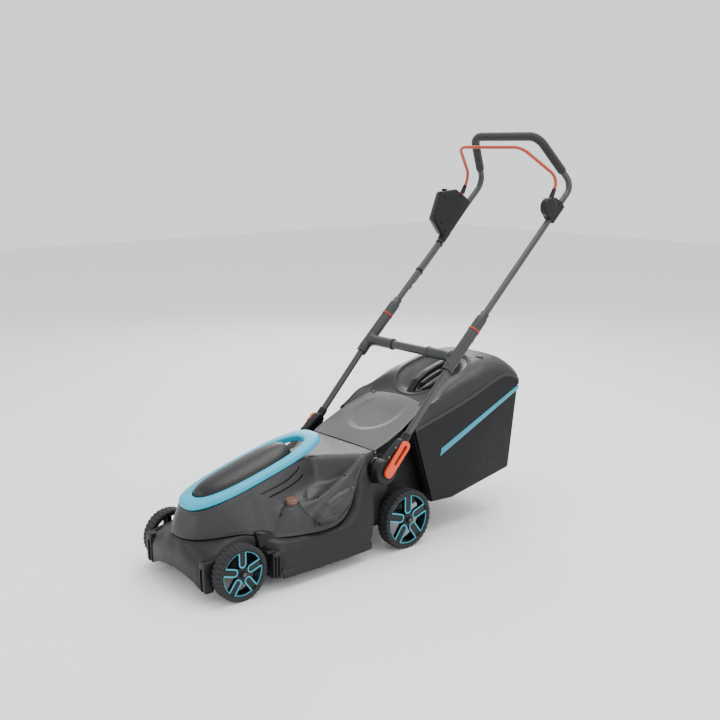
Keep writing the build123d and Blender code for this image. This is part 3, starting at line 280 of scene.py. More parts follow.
M_STRIPE = plastic("stripe_teal", (0.012, 0.235, 0.320), rough=0.4, vary=0.04, edge_wear_and_highlight=0.0, grain=0.05)
M_ORANGE = plastic("lever_orange", (0.72, 0.050, 0.002), rough=0.38, vary=0.05, edge_wear_and_highlight=0.0, grain=0.08)
M_BAIL = plastic("bail_orange", (0.36, 0.036, 0.003), rough=0.42, vary=0.08, edge_wear_and_highlight=0.0, grain=0.08)
M_RINGO = plastic("ring_orange", (0.48, 0.045, 0.006), rough=0.4, vary=0.06, edge_wear_and_highlight=0.0, grain=0.06)
M_COPPER = plastic("knob_copper", (0.155, 0.066, 0.044), rough=0.34, vary=0.06, edge_wear_and_highlight=0.0, grain=0.06)
M_TUBE = metal_paint("tube_paint", (0.030, 0.031, 0.032))
M_CONN = plastic("connector_plastic", (0.026, 0.027, 0.028), rough=0.42, spec=0.34, edge_wear_and_highlight=0.14)
M_FOAM = foam_mat("foam", (0.012, 0.012, 0.013))
M_TYRE = rubber("tyre_rubber", (0.010, 0.010, 0.011), rough=0.72)
M_RIM = plastic("rim_plastic", (0.007, 0.009, 0.011), rough=0.40, spec=0.26)
M_CABLE = rubber("cable_black", (0.016, 0.016, 0.017), rough=0.5, strength=0.1)
M_STEEL = steel("steel", (0.55, 0.56, 0.58))
M_ZINC = steel("zinc_screw", (0.16, 0.165, 0.17), 0.4)
M_ALU = steel("cast_alu", (0.60, 0.61, 0.63), 0.5)
M_BLADE = metal_paint("blade_paint", (0.03, 0.03, 0.032), 0.45, 0.4)
M_RED = plastic("key_red", (0.52, 0.02, 0.02), rough=0.4, edge_wear_and_highlight=0.0)
M_WHITE = plastic("white_mark", (0.72, 0.74, 0.75), rough=0.4, edge_wear_and_highlight=0.0, vary=0.02)
M_HUBC = plastic("hub_centre", (0.060, 0.050, 0.040), rough=0.5)
# darker copy of the lever orange: painted shade for the lever slot
M_SLOT_SHADE = plastic("slot_red", (0.16, 0.012, 0.004), rough=0.5, edge_wear_and_highlight=0.0)
M_PACK = plastic("battery_case", (0.030, 0.031, 0.034), rough=0.4)
M_DARK = plastic("gap_dark", (0.006, 0.006, 0.007), rough=0.7, edge_wear_and_highlight=0.0, grain=0.0)


def paint(ob, mat):
    ob.data.materials.clear()
    ob.data.materials.append(mat)
    return ob


# ------------------------------------------------------------------ mesh helpers
def mesh(name, V, F, smooth=True, angle=None):
    me = bpy.data.meshes.new(name)
    me.from_pydata([tuple(p) for p in fr(V)], [], [tuple(int(i) for i in f) for f in F])
    me.update()
    ob = bpy.data.objects.new(name, me)
    bpy.context.scene.collection.objects.link(ob)
    if smooth:
        me.shade_smooth()
        if angle:
            me.set_sharp_from_angle(angle=math.radians(angle))
    return ob


def clean(ob, dist=0.00002, angle=None):
    bm = bmesh.new()
    bm.from_mesh(ob.data)
    bmesh.ops.remove_doubles(bm, verts=bm.verts, dist=dist)
    bmesh.ops.dissolve_degenerate(bm, edges=bm.edges, dist=dist)
    bmesh.ops.recalc_face_normals(bm, faces=bm.faces)
    bm.to_mesh(ob.data)
    bm.free()
    ob.data.shade_smooth()
    if angle:
        ob.data.set_sharp_from_angle(angle=math.radians(angle))
    return ob


def quads(n, m, off=0, wrap_u=False, wrap_v=False, flip=False):
    F = []
    for i in range(n if wrap_u else n - 1):
        for j in range(m if wrap_v else m - 1):
            a, b = off + i * m + j, off + ((i + 1) % n) * m + j
            c, d = off + ((i + 1) % n) * m + (j + 1) % m, off + i * m + (j + 1) % m
            F.append((a, d, c, b) if flip else (a, b, c, d))
    return F


def spline(P, t_new=None, count=None, T=None):
    """Smooth rows through the stations of P (first axis)."""
    P = np.asarray(P, float)
    n = len(P)
    if T is None:
        flat = P.reshape(n, -1, P.shape[-1])
        step = np.sqrt(((flat[1:] - flat[:-1]) ** 2).sum(-1)).mean(-1)
        T = np.concatenate([[0], np.cumsum(np.maximum(step, 1e-6))])
    T = np.asarray(T, float)
    if t_new is None:
        t_new = np.linspace(T[0], T[-1], count)
    t_new = np.asarray(t_new, float)
    D = np.gradient(P, T, axis=0) if n > 2 else np.repeat(((P[1] - P[0]) / (T[1] - T[0]))[None], 2, 0)
    k = np.clip(np.searchsorted(T, t_new, side="right") - 1, 0, n - 2)
    h = (T[k + 1] - T[k])
    s = ((t_new - T[k]) / h)
    sh = (-1,) + (1,) * (P.ndim - 1)
    s, h = s.reshape(sh), h.reshape(sh)
    return ((2 * s**3 - 3 * s**2 + 1) * P[k] + (s**3 - 2 * s**2 + s) * h * D[k]
            + (-2 * s**3 + 3 * s**2) * P[k + 1] + (s**3 - s**2) * h * D[k + 1])


def rows(net, nu, nv):
    """Dense grid over a control net [stations, points, 3]."""
    G = spline(net, count=nu)
    G = np.swapaxes(spline(np.swapaxes(G, 0, 1), count=nv), 0, 1)
    return G


def normals_of(G):
    du = np.gradient(G, axis=0)
    dv = np.gradient(G, axis=1)
    N = np.cross(du, dv)
    return N / np.maximum(np.linalg.norm(N, axis=-1, keepdims=True), 1e-9)


def sstep(a, b, x):
    t = np.clip((x - a) / (b - a), 0, 1)
    return t * t * (3 - 2 * t)


def shell(name, G, thick, angle=50, fold=False):
    """Closed shell: grid G and its offset inward along the normals, sewn round the border.
    fold: the first row lies double on the middle plane, so it gets no border of its own."""
    n, m, _ = G.shape
    N = normals_of(G)
    if fold:
        B = N[1] + N[1][::-1] * np.array([-1, 1, 1])
        B[:, 0] = 0
        B[:, 2] += 1e-3
        N[0] = B / np.maximum(np.linalg.norm(B, axis=-1, keepdims=True), 1e-6)
    H = G - N * thick
    V = np.concatenate([G.reshape(-1, 3), H.reshape(-1, 3)])
    F = quads(n, m) + quads(n, m, n * m, flip=True)
    k = n * m
    edge = []
    edge += [(i * m, (i + 1) * m) for i in range(n - 1)]
    edge += [((n - 1) * m + j, (n - 1) * m + j + 1) for j in range(m - 1)]
    edge += [((i + 1) * m + m - 1, i * m + m - 1) for i in range(n - 2, -1, -1)]
    if not fold:
        edge += [(j + 1, j) for j in range(m - 2, -1, -1)]
    F += [(b, a, a + k, b + k) for a, b in edge]
    ob = mesh(name, V, F)
    return clean(ob, dist=0.000002 if fold else 0.00002, angle=angle)


def mod(ob, kind, **kw):
    md = ob.modifiers.new(kind.lower(), kind)
    for k, v in kw.items():
        setattr(md, k, v)
    return md


def apply(ob):
    """Apply every modifier of ob."""
    bpy.context.view_layer.update()
    dg = bpy.context.evaluated_depsgraph_get()
    me = bpy.data.meshes.new_from_object(ob.evaluated_get(dg))
    old = ob.data
    ob.modifiers.clear()
    ob.data = me
    bpy.data.meshes.remove(old)
    return ob


def boolean(ob, cutters, op="DIFFERENCE", solver="MANIFOLD", angle=40):
    for c in cutters:
        mod(ob, "BOOLEAN", object=c, operation=op, solver=solver)
    before = len(ob.data.vertices)
    apply(ob)
    if len(ob.data.vertices) < 8:
        print("BOOLEAN EMPTY", ob.name, before)
    for c in cutters:
        bpy.data.objects.remove(c)
    ob.data.shade_smooth()
    ob.data.set_sharp_from_angle(angle=math.radians(angle))
    return ob


def rounded(ob, width=1.0, seg=3, angle=35):
    """Round the edges of a sharp-edged piece."""
    md = mod(ob, "BEVEL", width=width / 1000.0, segments=seg, limit_method="ANGLE", angle_limit=math.radians(angle))
    md.harden_normals = False
    apply(ob)
    ob.data.shade_smooth()
    ob.data.set_sharp_from_angle(angle=math.radians(50))
    return ob


def voxel(ob, size=1.5, smooth=4):
    mod(ob, "REMESH", mode="VOXEL", voxel_size=size / 1000.0)
    apply(ob)
    if smooth:
        mod(ob, "SMOOTH", factor=0.5, iterations=smooth)
        apply(ob)
    ob.data.shade_smooth()
    return ob


def join(name, obs):
    """Joined copy of several meshes."""
    V, F, off = [], [], 0
    for o in obs:
        me = o.data
        V += [tuple(o.matrix_world @ v.co) for v in me.vertices]
        F += [tuple(i + off for i in p.vertices) for p in me.polygons]
        off += len(me.vertices)
    for o in obs:
        bpy.data.objects.remove(o)
    me = bpy.data.meshes.new(name)
    me.from_pydata(V, [], F)
    me.update()
    me.shade_smooth()
    ob = bpy.data.objects.new(name, me)
    bpy.context.scene.collection.objects.link(ob)
    return ob


def prism(name, outline, x0, x1, plane="yz", bevel=0.0, seg=2):
    """Extruded outline. plane yz: points are (y, z), from x0 to x1. xz: (x, z), from y x0 to x1. xy: (x, y), z."""
    n = len(outline)
    def put(p, d):
        return {"yz": (d, p[0], p[1]), "xz": (p[0], d, p[1]), "xy": (p[0], p[1], d)}[plane]
    V = [put(p, x0) for p in outline] + [put(p, x1) for p in outline]
    F = [tuple(range(n)), tuple(range(2 * n - 1, n - 1, -1))] + [(i, (i + 1) % n, (i + 1) % n + n, i + n) for i in range(n)]
    ob = clean(mesh(name, V, F, smooth=False), angle=35)
    if bevel:
        rounded(ob, bevel, seg)
    return ob


def slab(name, lo, hi, bevel=0.0, seg=2):
    ob = prism(name, [(lo[1], lo[2]), (hi[1], lo[2]), (hi[1], hi[2]), (lo[1], hi[2])], lo[0], hi[0])
    if bevel:
        rounded(ob, bevel, seg)
    return ob


def frame_of(d):
    d = Vector(d).normalized()
    a = Vector((1, 0, 0)) if abs(d.x) < 0.9 else Vector((0, 1, 0))
    u = d.cross(a).normalized()
    return d, u, d.cross(u).normalized()


def lathe(name, origin, axis, profile, seg=64, angle=35, phase=0.0, arc=None):
    """Revolve (along, radius) points round an axis in mm. Ends at radius 0 close by themselves."""
    d, u, w = frame_of(axis)
    o = Vector(origin)
    V, F = [], []
    closed = profile[0] == profile[-1]
    prof = profile[:-1] if closed else profile
    m = len(prof)
    for i in range(seg):
        a = phase + 2 * math.pi * i / seg
        r = u * math.cos(a) + w * math.sin(a)
        for s, rad in prof:
            V.append(tuple(o + d * s + r * rad))
    F = quads(seg, m, wrap_u=True, wrap_v=closed)
    if not closed:
        for j, rev in ((0, False), (m - 1, True)):
            if prof[j][1] > 1e-6:
                ring = [i * m + j for i in range(seg)]
                F.append(tuple(ring if rev else ring[::-1]))
    ob = mesh(name, V, F)
    return clean(ob, angle=angle)


def fillet_path(points, radii, step=4.0):
    """Polyline with rounded corners, sampled."""
    P = [Vector(p) for p in points]
    out = [P[0]]
    for i in range(1, len(P) - 1):
        a, b, c = P[i - 1], P[i], P[i + 1]
        r = radii[i - 1]
        da, dc = (a - b).normalized(), (c - b).normalized()
        ang = da.angle(dc)
        t = r / math.tan(ang / 2)
        p0, p1 = b + da * t, b + dc * t
        centre = b + (da + dc).normalized() * (r / math.sin(ang / 2))
        turn = math.pi - ang
        k = max(6, int(r * turn / step))
        v0 = p0 - centre
        axis = (p0 - centre).cross(p1 - centre).normalized()
        for q in range(k + 1):
            out.append(centre + Matrix.Rotation(turn * q / k, 3, axis) @ v0)
    out.append(P[-1])
    return out


def resample(points, step):
    P = np.array([tuple(p) for p in points], float)
    L = np.concatenate([[0], np.cumsum(np.linalg.norm(np.diff(P, axis=0), axis=1))])
    n = max(2, int(L[-1] / step) + 1)
    t = np.linspace(0, L[-1], n)
    return np.stack([np.interp(t, L, P[:, k]) for k in range(3)], 1), t


def sweep(name, points, radius, seg=32, bore=None, caps=True, angle=40, scale_uv=None, radius_fn=None):
    """Round tube along points (mm). radius_fn(i, a) may vary it."""
    P = np.array([tuple(p) for p in points], float)
    n = len(P)
    T = np.gradient(P, axis=0)
    T /= np.linalg.norm(T, axis=1, keepdims=True)
    U = np.zeros_like(P)
    a = np.array([1.0, 0, 0]) if abs(T[0][0]) < 0.9 else np.array([0, 0, 1.0])
    u = np.cross(T[0], a)
    u /= np.linalg.norm(u)
    for i in range(n):
        u = u - T[i] * np.dot(u, T[i])
        u /= np.linalg.norm(u)
        U[i] = u
    W = np.cross(T, U)
    ang = np.linspace(0, 2 * math.pi, seg, endpoint=False)

    def skin(r):
        r = np.broadcast_to(np.asarray(r, float).reshape(-1, 1, 1) if np.ndim(r) else np.full((n, 1, 1), float(r)), (n, 1, 1))
        R = r if radius_fn is None else r * np.array([[radius_fn(i, x) for x in ang] for i in range(n)])[..., None]
        return P[:, None] + R * (np.cos(ang)[None, :, None] * U[:, None] + np.sin(ang)[None, :, None] * W[:, None])

    A = skin(radius).reshape(-1, 3)
    V, F = A, quads(n, seg, wrap_v=True)
    if bore is not None:
        k = len(A)
        V = np.concatenate([A, skin(bore).reshape(-1, 3)])
        F += quads(n, seg, k, wrap_v=True, flip=True)
        for i0 in (0, (n - 1) * seg):
            F += [(i0 + j, i0 + (j + 1) % seg, k + i0 + (j + 1) % seg, k + i0 + j) for j in range(seg)]
    elif caps:
        F += [tuple(range(seg)), tuple(range((n - 1) * seg + seg - 1, (n - 1) * seg - 1, -1))]
    return clean(mesh(name, V, F), angle=angle)


def straight(name, a, b, profile, seg=48, angle=35):
    """Lathe from a towards b: profile of (mm along, radius)."""
    d = Vector(b) - Vector(a)
    return lathe(name, a, d, profile, seg, angle)


def mirror_x(ob, name):
    me = ob.data.copy()
    me.transform(Matrix.Diagonal((-1, 1, 1, 1)))
    me.flip_normals()
    o = bpy.data.objects.new(name, me)
    bpy.context.scene.collection.objects.link(o)
    return o


def done(ob, mat, body, node=None):
    paint(ob, mat)
    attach(ob, body)
    if node:
        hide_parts(*([node] if isinstance(node, str) else node))
    return ob


def super_oval(centre, half_long, half_wide, power, count):
    t = np.linspace(0, 2 * math.pi, count, endpoint=False)
    # even spacing along the curve
    f = np.linspace(0, 2 * math.pi, 4000)
    c, s = np.cos(f), np.sin(f)
    X = half_wide * np.sign(c) * np.abs(c) ** (2 / power)
    Y = centre + half_long * np.sign(s) * np.abs(s) ** (2 / power)
    L = np.concatenate([[0], np.cumsum(np.hypot(np.diff(X), np.diff(Y)))])
    q = np.linspace(0, L[-1], count, endpoint=False)
    return np.stack([np.interp(q, L, X), np.interp(q, L, Y)], 1)


# ------------------------------------------------------------------ camera, light and floor
def camera():
    az, el = math.radians(49.40), math.radians(11.91)
    back = Vector((math.sin(az) * math.cos(el), -math.cos(az) * math.cos(el), math.sin(el)))
    cam = bpy.data.cameras.new("camera")
    cam.lens = 51.07
    cam.sensor_width = 36.0
    cam.clip_start = 0.05
    cam.clip_end = 50
    ob = bpy.data.objects.new("camera", cam)
    ob.location = fv(2234.4, -1641.8, 1147.2)
    ob.rotation_euler = back.to_track_quat("Z", "Y").to_euler()
    bpy.context.scene.collection.objects.link(ob)
    bpy.context.scene.camera = ob


def area(name, loc, target, size, power, size_y=None):
    li = bpy.data.lights.new(name, "AREA")
    li.energy = power
    li.size = size
    if size_y:
        li.shape = "RECTANGLE"
        li.size_y = size_y
    ob = bpy.data.objects.new(name, li)
    ob.location = loc
    ob.rotation_euler = (Vector(loc) - Vector(target)).to_track_quat("Z", "Y").to_euler()
    bpy.context.scene.collection.objects.link(ob)
    return ob


camera()
area("key_top", (0.2, 0.6, 3.2), (0, 0, 0.3), 2.4, 88, 2.4)
area("side_left", (3.2, 0.4, 1.5), (0, 0, 0.4), 1.4, 34, 1.6)
area("front_fill", (-0.6, -3.2, 1.6), (0, 0, 0.4), 1.8, 24, 1.6)
area("back_right", (-2.6, 2.0, 2.0), (0, 0.1, 0.5), 1.6, 46, 1.6)
world = bpy.data.worlds.new("world")
bpy.context.scene.world = world
world.use_nodes = True
world.node_tree.nodes["Background"].inputs[0].default_value = (0.93, 0.95, 0.97, 1)
world.node_tree.nodes["Background"].inputs[1].default_value = 1.35

floor_me = bpy.data.meshes.new("floor")
floor_me.from_pydata([(-9, -9, 0), (9, -9, 0), (9, 9, 0), (-9, 9, 0)], [], [(0, 1, 2, 3)])
floor = bpy.data.objects.new("floor", floor_me)
bpy.context.scene.collection.objects.link(floor)
m_floor, nt_floor, b_floor = new_mat("floor_pale")
b_floor.inputs["Base Color"].default_value = (0.86, 0.86, 0.86, 1)
b_floor.inputs["Roughness"].default_value = 0.9
floor.data.materials.append(m_floor)

# ------------------------------------------------------------------ motor hood
# Control net, one line per station from the middle plane (or the ring) out to the seam: 14 points each.


def hood_net():
    def shelf(u, yc):
        """Point under the ring at half width u."""
        return (u, yc, ring_z(yc) - 5.5)
    S = []

    def fan(yc, ring, seam, bulge, lip=2.0):
        """Front station: centre point, shelf, then the flank from the ring down to the seam."""
        rx, ry = ring
        rz = ring_z(ry) - 4.5
        c = np.array((0, yc, ring_z(yc) - 5.5))
        R = np.array((rx, ry, rz))
        pts = [c, c + (R - c) * 0.35, c + (R - c) * 0.62, c + (R - c) * 0.85]
        sx, sy, sz = seam
        S0 = np.array(seam, float)
        out = S0 - R
        flat = np.array((out[0], out[1], 0.0))
        reach = np.linalg.norm(flat)
        dirn = flat / reach
        drop = -out[2]
        for a, (k, b) in zip((0.0, 0.10, 0.24, 0.40, 0.57, 0.73, 0.86, 0.955, 0.988, 1.0),
                             ((0.0, 0), (0.03, 0.25), (0.14, 0.62), (0.30, 0.9), (0.50, 1.0), (0.70, 0.92), (0.87, 0.66), (0.985, 0.22), (1.012, 0.05), (1.0, 0.0))):
            p = R + dirn * reach * k + np.array((0, 0, -drop * a))
            p = p + dirn * bulge * b * 0.6 + np.array((0, 0, bulge * b * 0.45))
            pts.append(p)
        pts[-1] = S0 - np.append(dirn[:2] * lip, 0)
        S.append(pts)

    fan(-300, (0, -336), (0, -361.5, 141), 4)
    fan(-298, (26, -334), (28, -358.5, 141), 4)
    fan(-294, (46, -326), (49, -348, 141.5), 5)
    fan(-288, (61, -311), (67, -334, 142.5), 6)
    fan(-278, (70, -289), (87, -308, 144.5), 7)
    fan(-262, (76, -258), (111, -274, 149.5), 8)
    fan(-232, (79, -218), (134, -236, 152.5), 8)
    fan(-206, (80.5, -188), (146.5, -207, 146.5), 8)

    def st(y, pts):
        S.append([(x, y, z) for x, z in pts])
    st(-168, [(0, 253), (24, 253), (46, 253), (68, 253.5), (80, 254), (82, 251), (91, 234), (103, 214), (118, 193), (135, 171), (149, 153), (158.5, 139), (160.5, 135.5), (159, 134)])
    st(-125, [(0, 265), (24, 265), (46, 265), (68, 265.5), (80.5, 266), (83, 262), (92, 243), (104, 222), (121, 201), (140, 181), (157, 158), (168, 133), (169.8, 129.5), (168, 127.5)])
    st(-80, [(0, 277), (24, 277), (46, 277.5), (68, 278), (80, 278.5), (83, 273), (92, 249), (104, 224), (124, 203), (147, 186), (164, 163), (172, 130), (173.5, 124.5), (172, 122)])
    st(-45, [(0, 287), (24, 287), (46, 287.5), (67, 288), (78, 287), (82, 279), (89, 251), (100, 224), (125, 205), (152, 194), (167.5, 172), (173, 128), (175, 121.5), (173.5, 119)])
    st(-15, [(0, 294), (24, 294), (45, 294), (62, 295), (74, 292), (79.5, 280), (86, 248), (98, 221), (133, 206), (158, 203), (169, 184), (174, 128), (175.8, 119), (174, 116.5)])
    st(15, [(0, 294), (23, 294), (42, 295), (56, 296), (67, 290), (75, 272), (83, 242), (97, 220), (136, 216), (161, 214), (170, 194), (174, 130), (175.2, 119.5), (173.5, 117)])
    st(45, [(0, 289), (22, 290), (40, 290), (52, 285), (62, 274), (72, 256), (84, 236), (101, 222), (137, 228), (161.5, 227), (169.5, 206), (173, 140), (174.2, 124), (172.5, 121.5)])
    st(72, [(0, 287.5), (26, 288), (47, 288), (60, 284), (71, 274), (82, 260), (96, 243), (112, 229), (138, 240.5), (160.5, 239.5), (167.5, 222), (171.5, 150), (172.6, 138), (171, 135)])
    st(95, [(0, 288), (30, 288), (55, 288), (70, 286), (82, 279), (93, 269), (106, 254), (120, 240), (138.5, 251), (158, 250), (164, 236), (168.5, 176), (169.8, 164), (168.2, 160.5)])
    st(113, [(0, 288.7), (33, 288.7), (61, 288.7), (79, 287.5), (92, 284), (103, 276), (114, 265), (126, 253), (138.5, 261.5), (154, 261), (159.5, 250), (164.5, 210), (166.2, 200), (164.8, 196.5)])
    st(130, [(0, 289.6), (35, 289.6), (65, 289.6), (85, 289.5), (99, 288), (109, 284), (119, 277), (129, 268), (139, 272.5), (150, 272.2), (155, 264), (159.5, 246), (161.5, 240), (160, 237)])
    st(147, [(0, 290.6), (36, 290.6), (66, 290.6), (88, 290.6), (103, 290.4), (113, 289.5), (122, 287), (130, 283.5), (137.5, 283), (145.5, 282.5), (150.5, 277.5), (154.8, 268), (157, 262.5), (155.5, 260)])
    st(165, [(0, 291.8), (36, 291.8), (66, 291.8), (88, 291.8), (103, 291.8), (113, 291.6), (122, 291.3), (129, 290.9), (136, 290.5), (142.5, 289.5), (146.5, 286.5), (150.3, 281.5), (151.8, 278.5), (150.5, 276.5)])
    st(184, [(0, 292.7), (36, 292.7), (66, 292.7), (88, 292.7), (102, 292.7), (112, 292.7), (120, 292.6), (127, 292.4), (133, 292.1), (138.5, 291), (142.5, 288), (145.6, 283.5), (146.8, 281), (145.5, 279)])
    st(203, [(0, 293.4), (36, 293.4), (66, 293.4), (88, 293.4), (101, 293.4), (110, 293.4), (117, 293.3), (124, 293.2), (129.5, 293), (134.5, 292), (138.3, 289.5), (141, 285.5), (142, 283), (140.7, 281)])
    return np.array(S, float)


def fair(G, times, hold=None):
    """Laplacian smoothing of the inner points of a grid."""
    for _ in range(times):
        A = G.copy()
        A[1:-1, 1:-1] = 0.5 * G[1:-1, 1:-1] + 0.125 * (G[2:, 1:-1] + G[:-2, 1:-1] + G[1:-1, 2:] + G[1:-1, :-2])
        if hold is not None:
            A = G * hold + A * (1 - hold)
        G = A
    return G


KNOB = (135.0, -84.0)


def hood_details(G):
    """Raised boss for the height button and the leaf-shaped recess in the side."""
    x, y, z = G[..., 0], G[..., 1], G[..., 2]
    # boss: a swelling that runs out of the flank, with a flat round top
    d = np.sqrt((x - KNOB[0]) ** 2 + ((y - KNOB[1]) * np.where(y < KNOB[1], 0.80, 1.0)) ** 2)
    top = 199.0 - 0.0 * d
    cone = top - np.maximum(0, d - 20) * 1.25 + 0.0
    cone = np.where(d > 20, top - 3.0 * (np.sqrt(1 + ((d - 20) / 3.0) ** 2) - 1) * 1.25, cone)
    k = 5.0
    h = np.clip(0.5 + 0.5 * (cone - z) / k, 0, 1)
    zz = z * (1 - h) + cone * h + k * h * (1 - h)
    near = (d < 70) & (x > 60) & (z > 135)
    G = G.copy()
    G[..., 2] = np.where(near, zz, z)
    # the ledge's inner edge: the valley floor drops away beside it
    path = np.array([(121, -41), (132.5, -30), (140.2, 6), (141.4, 50), (140.7, 95), (134, 112), (122, 122)], float)
    path = spline(path, count=60)
    qx, qy = G[..., 0], G[..., 1]
    best = np.full(qx.shape, 1e9)
    sign = np.zeros(qx.shape)
    run = np.zeros(qx.shape)
    for i in range(len(path) - 1):
        a, b = path[i], path[i + 1]
        ab = b - a
        t = np.clip(((qx - a[0]) * ab[0] + (qy - a[1]) * ab[1]) / (ab @ ab), 0, 1)
        dx, dy = qx - a[0] - t * ab[0], qy - a[1] - t * ab[1]
        dist = np.hypot(dx, dy)
        cr = ab[0] * dy - ab[1] * dx
        m = dist < best
        best = np.where(m, dist, best)
        sign = np.where(m, np.sign(cr), sign)
        run = np.where(m, (i + t) / (len(path) - 1), run)
    d_in = best * sign
    ends = sstep(0.0, 0.12, run) * sstep(1.0, 0.90, run)
    drop = 8.0 * sstep(-0.5, 5.5, d_in) * sstep(46, 10, d_in) * ends
    drop = np.where(G[..., 0] > 60, drop, 0)
    G[..., 2] = G[..., 2] - drop
    # leaf recess
    N = normals_of(G)
    py, pz = G[..., 1], G[..., 2]
    side = (G[..., 0] > 120)
    # spine of the leaf in (y, z), with half width along it
    spine = np.array([(-34, 150), (-10, 155), (25, 166), (60, 182), (86, 197), (104, 212)], float)
    half = np.array([8, 23, 33, 31, 22, 7], float)
    best = np.full(py.shape, 1e9)
    for i in range(len(spine) - 1):
        a, b = spine[i], spine[i + 1]
        ab = b - a
        t = np.clip(((py - a[0]) * ab[0] + (pz - a[1]) * ab[1]) / (ab @ ab), 0, 1)
        dist = np.hypot(py - a[0] - t * ab[0], pz - a[1] - t * ab[1])
        hw = half[i] + (half[i + 1] - half[i]) * t
        best = np.minimum(best, dist - hw)
    depth = 15.0 * (0.45 * sstep(0.0, -5.0, best) + 0.55 * sstep(0.0, -20.0, best))
    # the floor rises to a low pad round the screw
    pad = np.hypot(py - 23, pz - 160)
    depth = depth * (1 - 0.25 * sstep(30, 10, pad))
    depth = np.where(side, depth, 0)
    G = G - N * depth[..., None] * 1.0
    return G


def build_hood():
    net = hood_net()
    G0 = spline(net, count=300)
    H0 = np.swapaxes(G0, 0, 1)
    flat = H0.reshape(len(H0), -1, 3)
    T0 = np.concatenate([[0], np.cumsum(np.sqrt(((flat[1:] - flat[:-1]) ** 2).sum(-1)).mean(-1))])
    t_new = np.concatenate([np.linspace(T0[0], T0[3], 14)[:-1], np.linspace(T0[3], T0[6], 24)[:-1], np.linspace(T0[6], T0[-1], 130)])
    half = np.swapaxes(spline(H0, t_new=t_new, T=T0), 0, 1)
    left = fair(half, 3)
    left[:, 0, 0] = 0
    leftd = hood_details(left)
    right = left.copy()
    # the recess is on both sides, the boss on the left only
    tmp = left.copy()
    rd = hood_details(tmp)
    d = np.hypot(tmp[..., 0] - KNOB[0], tmp[..., 1] - KNOB[1])
    keep = (d < 75)[..., None]
    right = np.where(keep & (rd[..., 2] > tmp[..., 2] - 0.2)[..., None], tmp, rd)
    right = right[:, ::-1].copy()
    right[..., 0] *= -1
    G = np.concatenate([right[:, :-1], leftd], axis=1)
    # normals must point out: check and orient
    N = normals_of(G)
    if N[150, G.shape[1] // 2, 2] < 0:
        G = G[:, ::-1].copy()
    G[0, :, 0] = 0
    ob = shell("hood_shell", G, 3.0, angle=45, fold=True)
    return ob, G


def strip_cutter(name, pts, half_w, depth_dir, d_in, d_out):
    """Slot cutter along a 3D polyline: width half_w each side, deep along depth_dir."""
    P = np.array(pts, float)
    D = np.array(depth_dir, float)
    D /= np.linalg.norm(D)
    T = np.gradient(P, axis=0)
    T /= np.linalg.norm(T, axis=1, keepdims=True)
    W = np.cross(T, D)
    W /= np.linalg.norm(W, axis=1, keepdims=True)
    n = len(P)
    w = np.full(n, half_w)
    w[0] = w[-1] = half_w * 0.35
    A = P + W * w[:, None] + D * d_out
    B = P - W * w[:, None] + D * d_out
    C = P - W * w[:, None] - D * d_in
    E = P + W * w[:, None] - D * d_in
    V = np.stack([A, B, C, E], 1).reshape(-1, 3)
    F = quads(n, 4, wrap_v=True) + [(0, 1, 2, 3), tuple((n - 1) * 4 + k for k in (3, 2, 1, 0))]
    return clean(mesh(name, V, F, smooth=False))


hood, HG = build_hood()
VENTS = [
    [(97.5, -156, 235.5), (97.2, -140, 238.2), (96.2, -120, 241.8), (94.6, -98, 246.2), (92.0, -76, 250.6), (89.0, -56, 256.5), (85.0, -38, 264.5), (82.6, -24.3, 271.5), (80.6, -15.5, 279.0)],
    [(102.3, -134.6, 222.8), (101.9, -113.7, 226.7), (100.5, -93.5, 230.4), (97.3, -68.5, 234.8), (92.8, -45.6, 239.5), (88.4, -25.7, 245.0), (85.0, -13.4, 249.8), (82.8, -6.4, 256.0)],
]
cutters = []
for k, pts in enumerate(VENTS):
    P = spline(np.array(pts), count=60)
    for side in (1, -1):
        Q = P * np.array([side, 1, 1])
        cutters.append(strip_cutter(f"vent_cut_{k}_{side}", Q, 2.3, (0.93 * side, 0, 0.36), 9, 7))
# screw wells and the button's bore
SCREWS = [(136.0, 168.0, 291.0), (150.5, 88.0, 247.5), (151.0, -8.0, 206.0)]
for sx, sy, sz in SCREWS:
    for side in (1, -1):
        cutters.append(lathe("well", (side * sx, sy, sz - 6), (0, 0, 1), [(0, 3.6), (14, 3.6)], 32))
for side in (1, -1):
    cutters.append(lathe("well", (side * 162, 23, 160), (side, 0, 0.15), [(0, 3.6), (22, 3.6)], 32))
cutters.append(lathe("button_bore", (KNOB[0], KNOB[1], 150), (0, 0, 1), [(0, 15.6), (90, 15.6)], 64))
boolean(hood, cutters, angle=40)
done(hood, M_HOOD, "chassis", "motor_hood")

# painted shade: dark strips behind the vents, and the collar round the button
# the strips are no real part: they sit just behind the vent slots as painted shade of the hollow inside
vent_shade_strips = []
for k, pts in enumerate(VENTS):
    P = spline(np.array(pts), count=24)
    for side in (1, -1):
        Q = P * np.array([side, 1, 1]) - np.array([0.93 * side, 0, 0.36]) * 6.5
        vent_shade_strips.append(strip_cutter(f"liner_{k}_{side}", Q, 6.0, (0.93 * side, 0, 0.36), 1.0, 1.0))
vent_shade_strips = join("vent_shade_sheet", vent_shade_strips)
done(vent_shade_strips, M_DARK, "chassis")
cutters = []
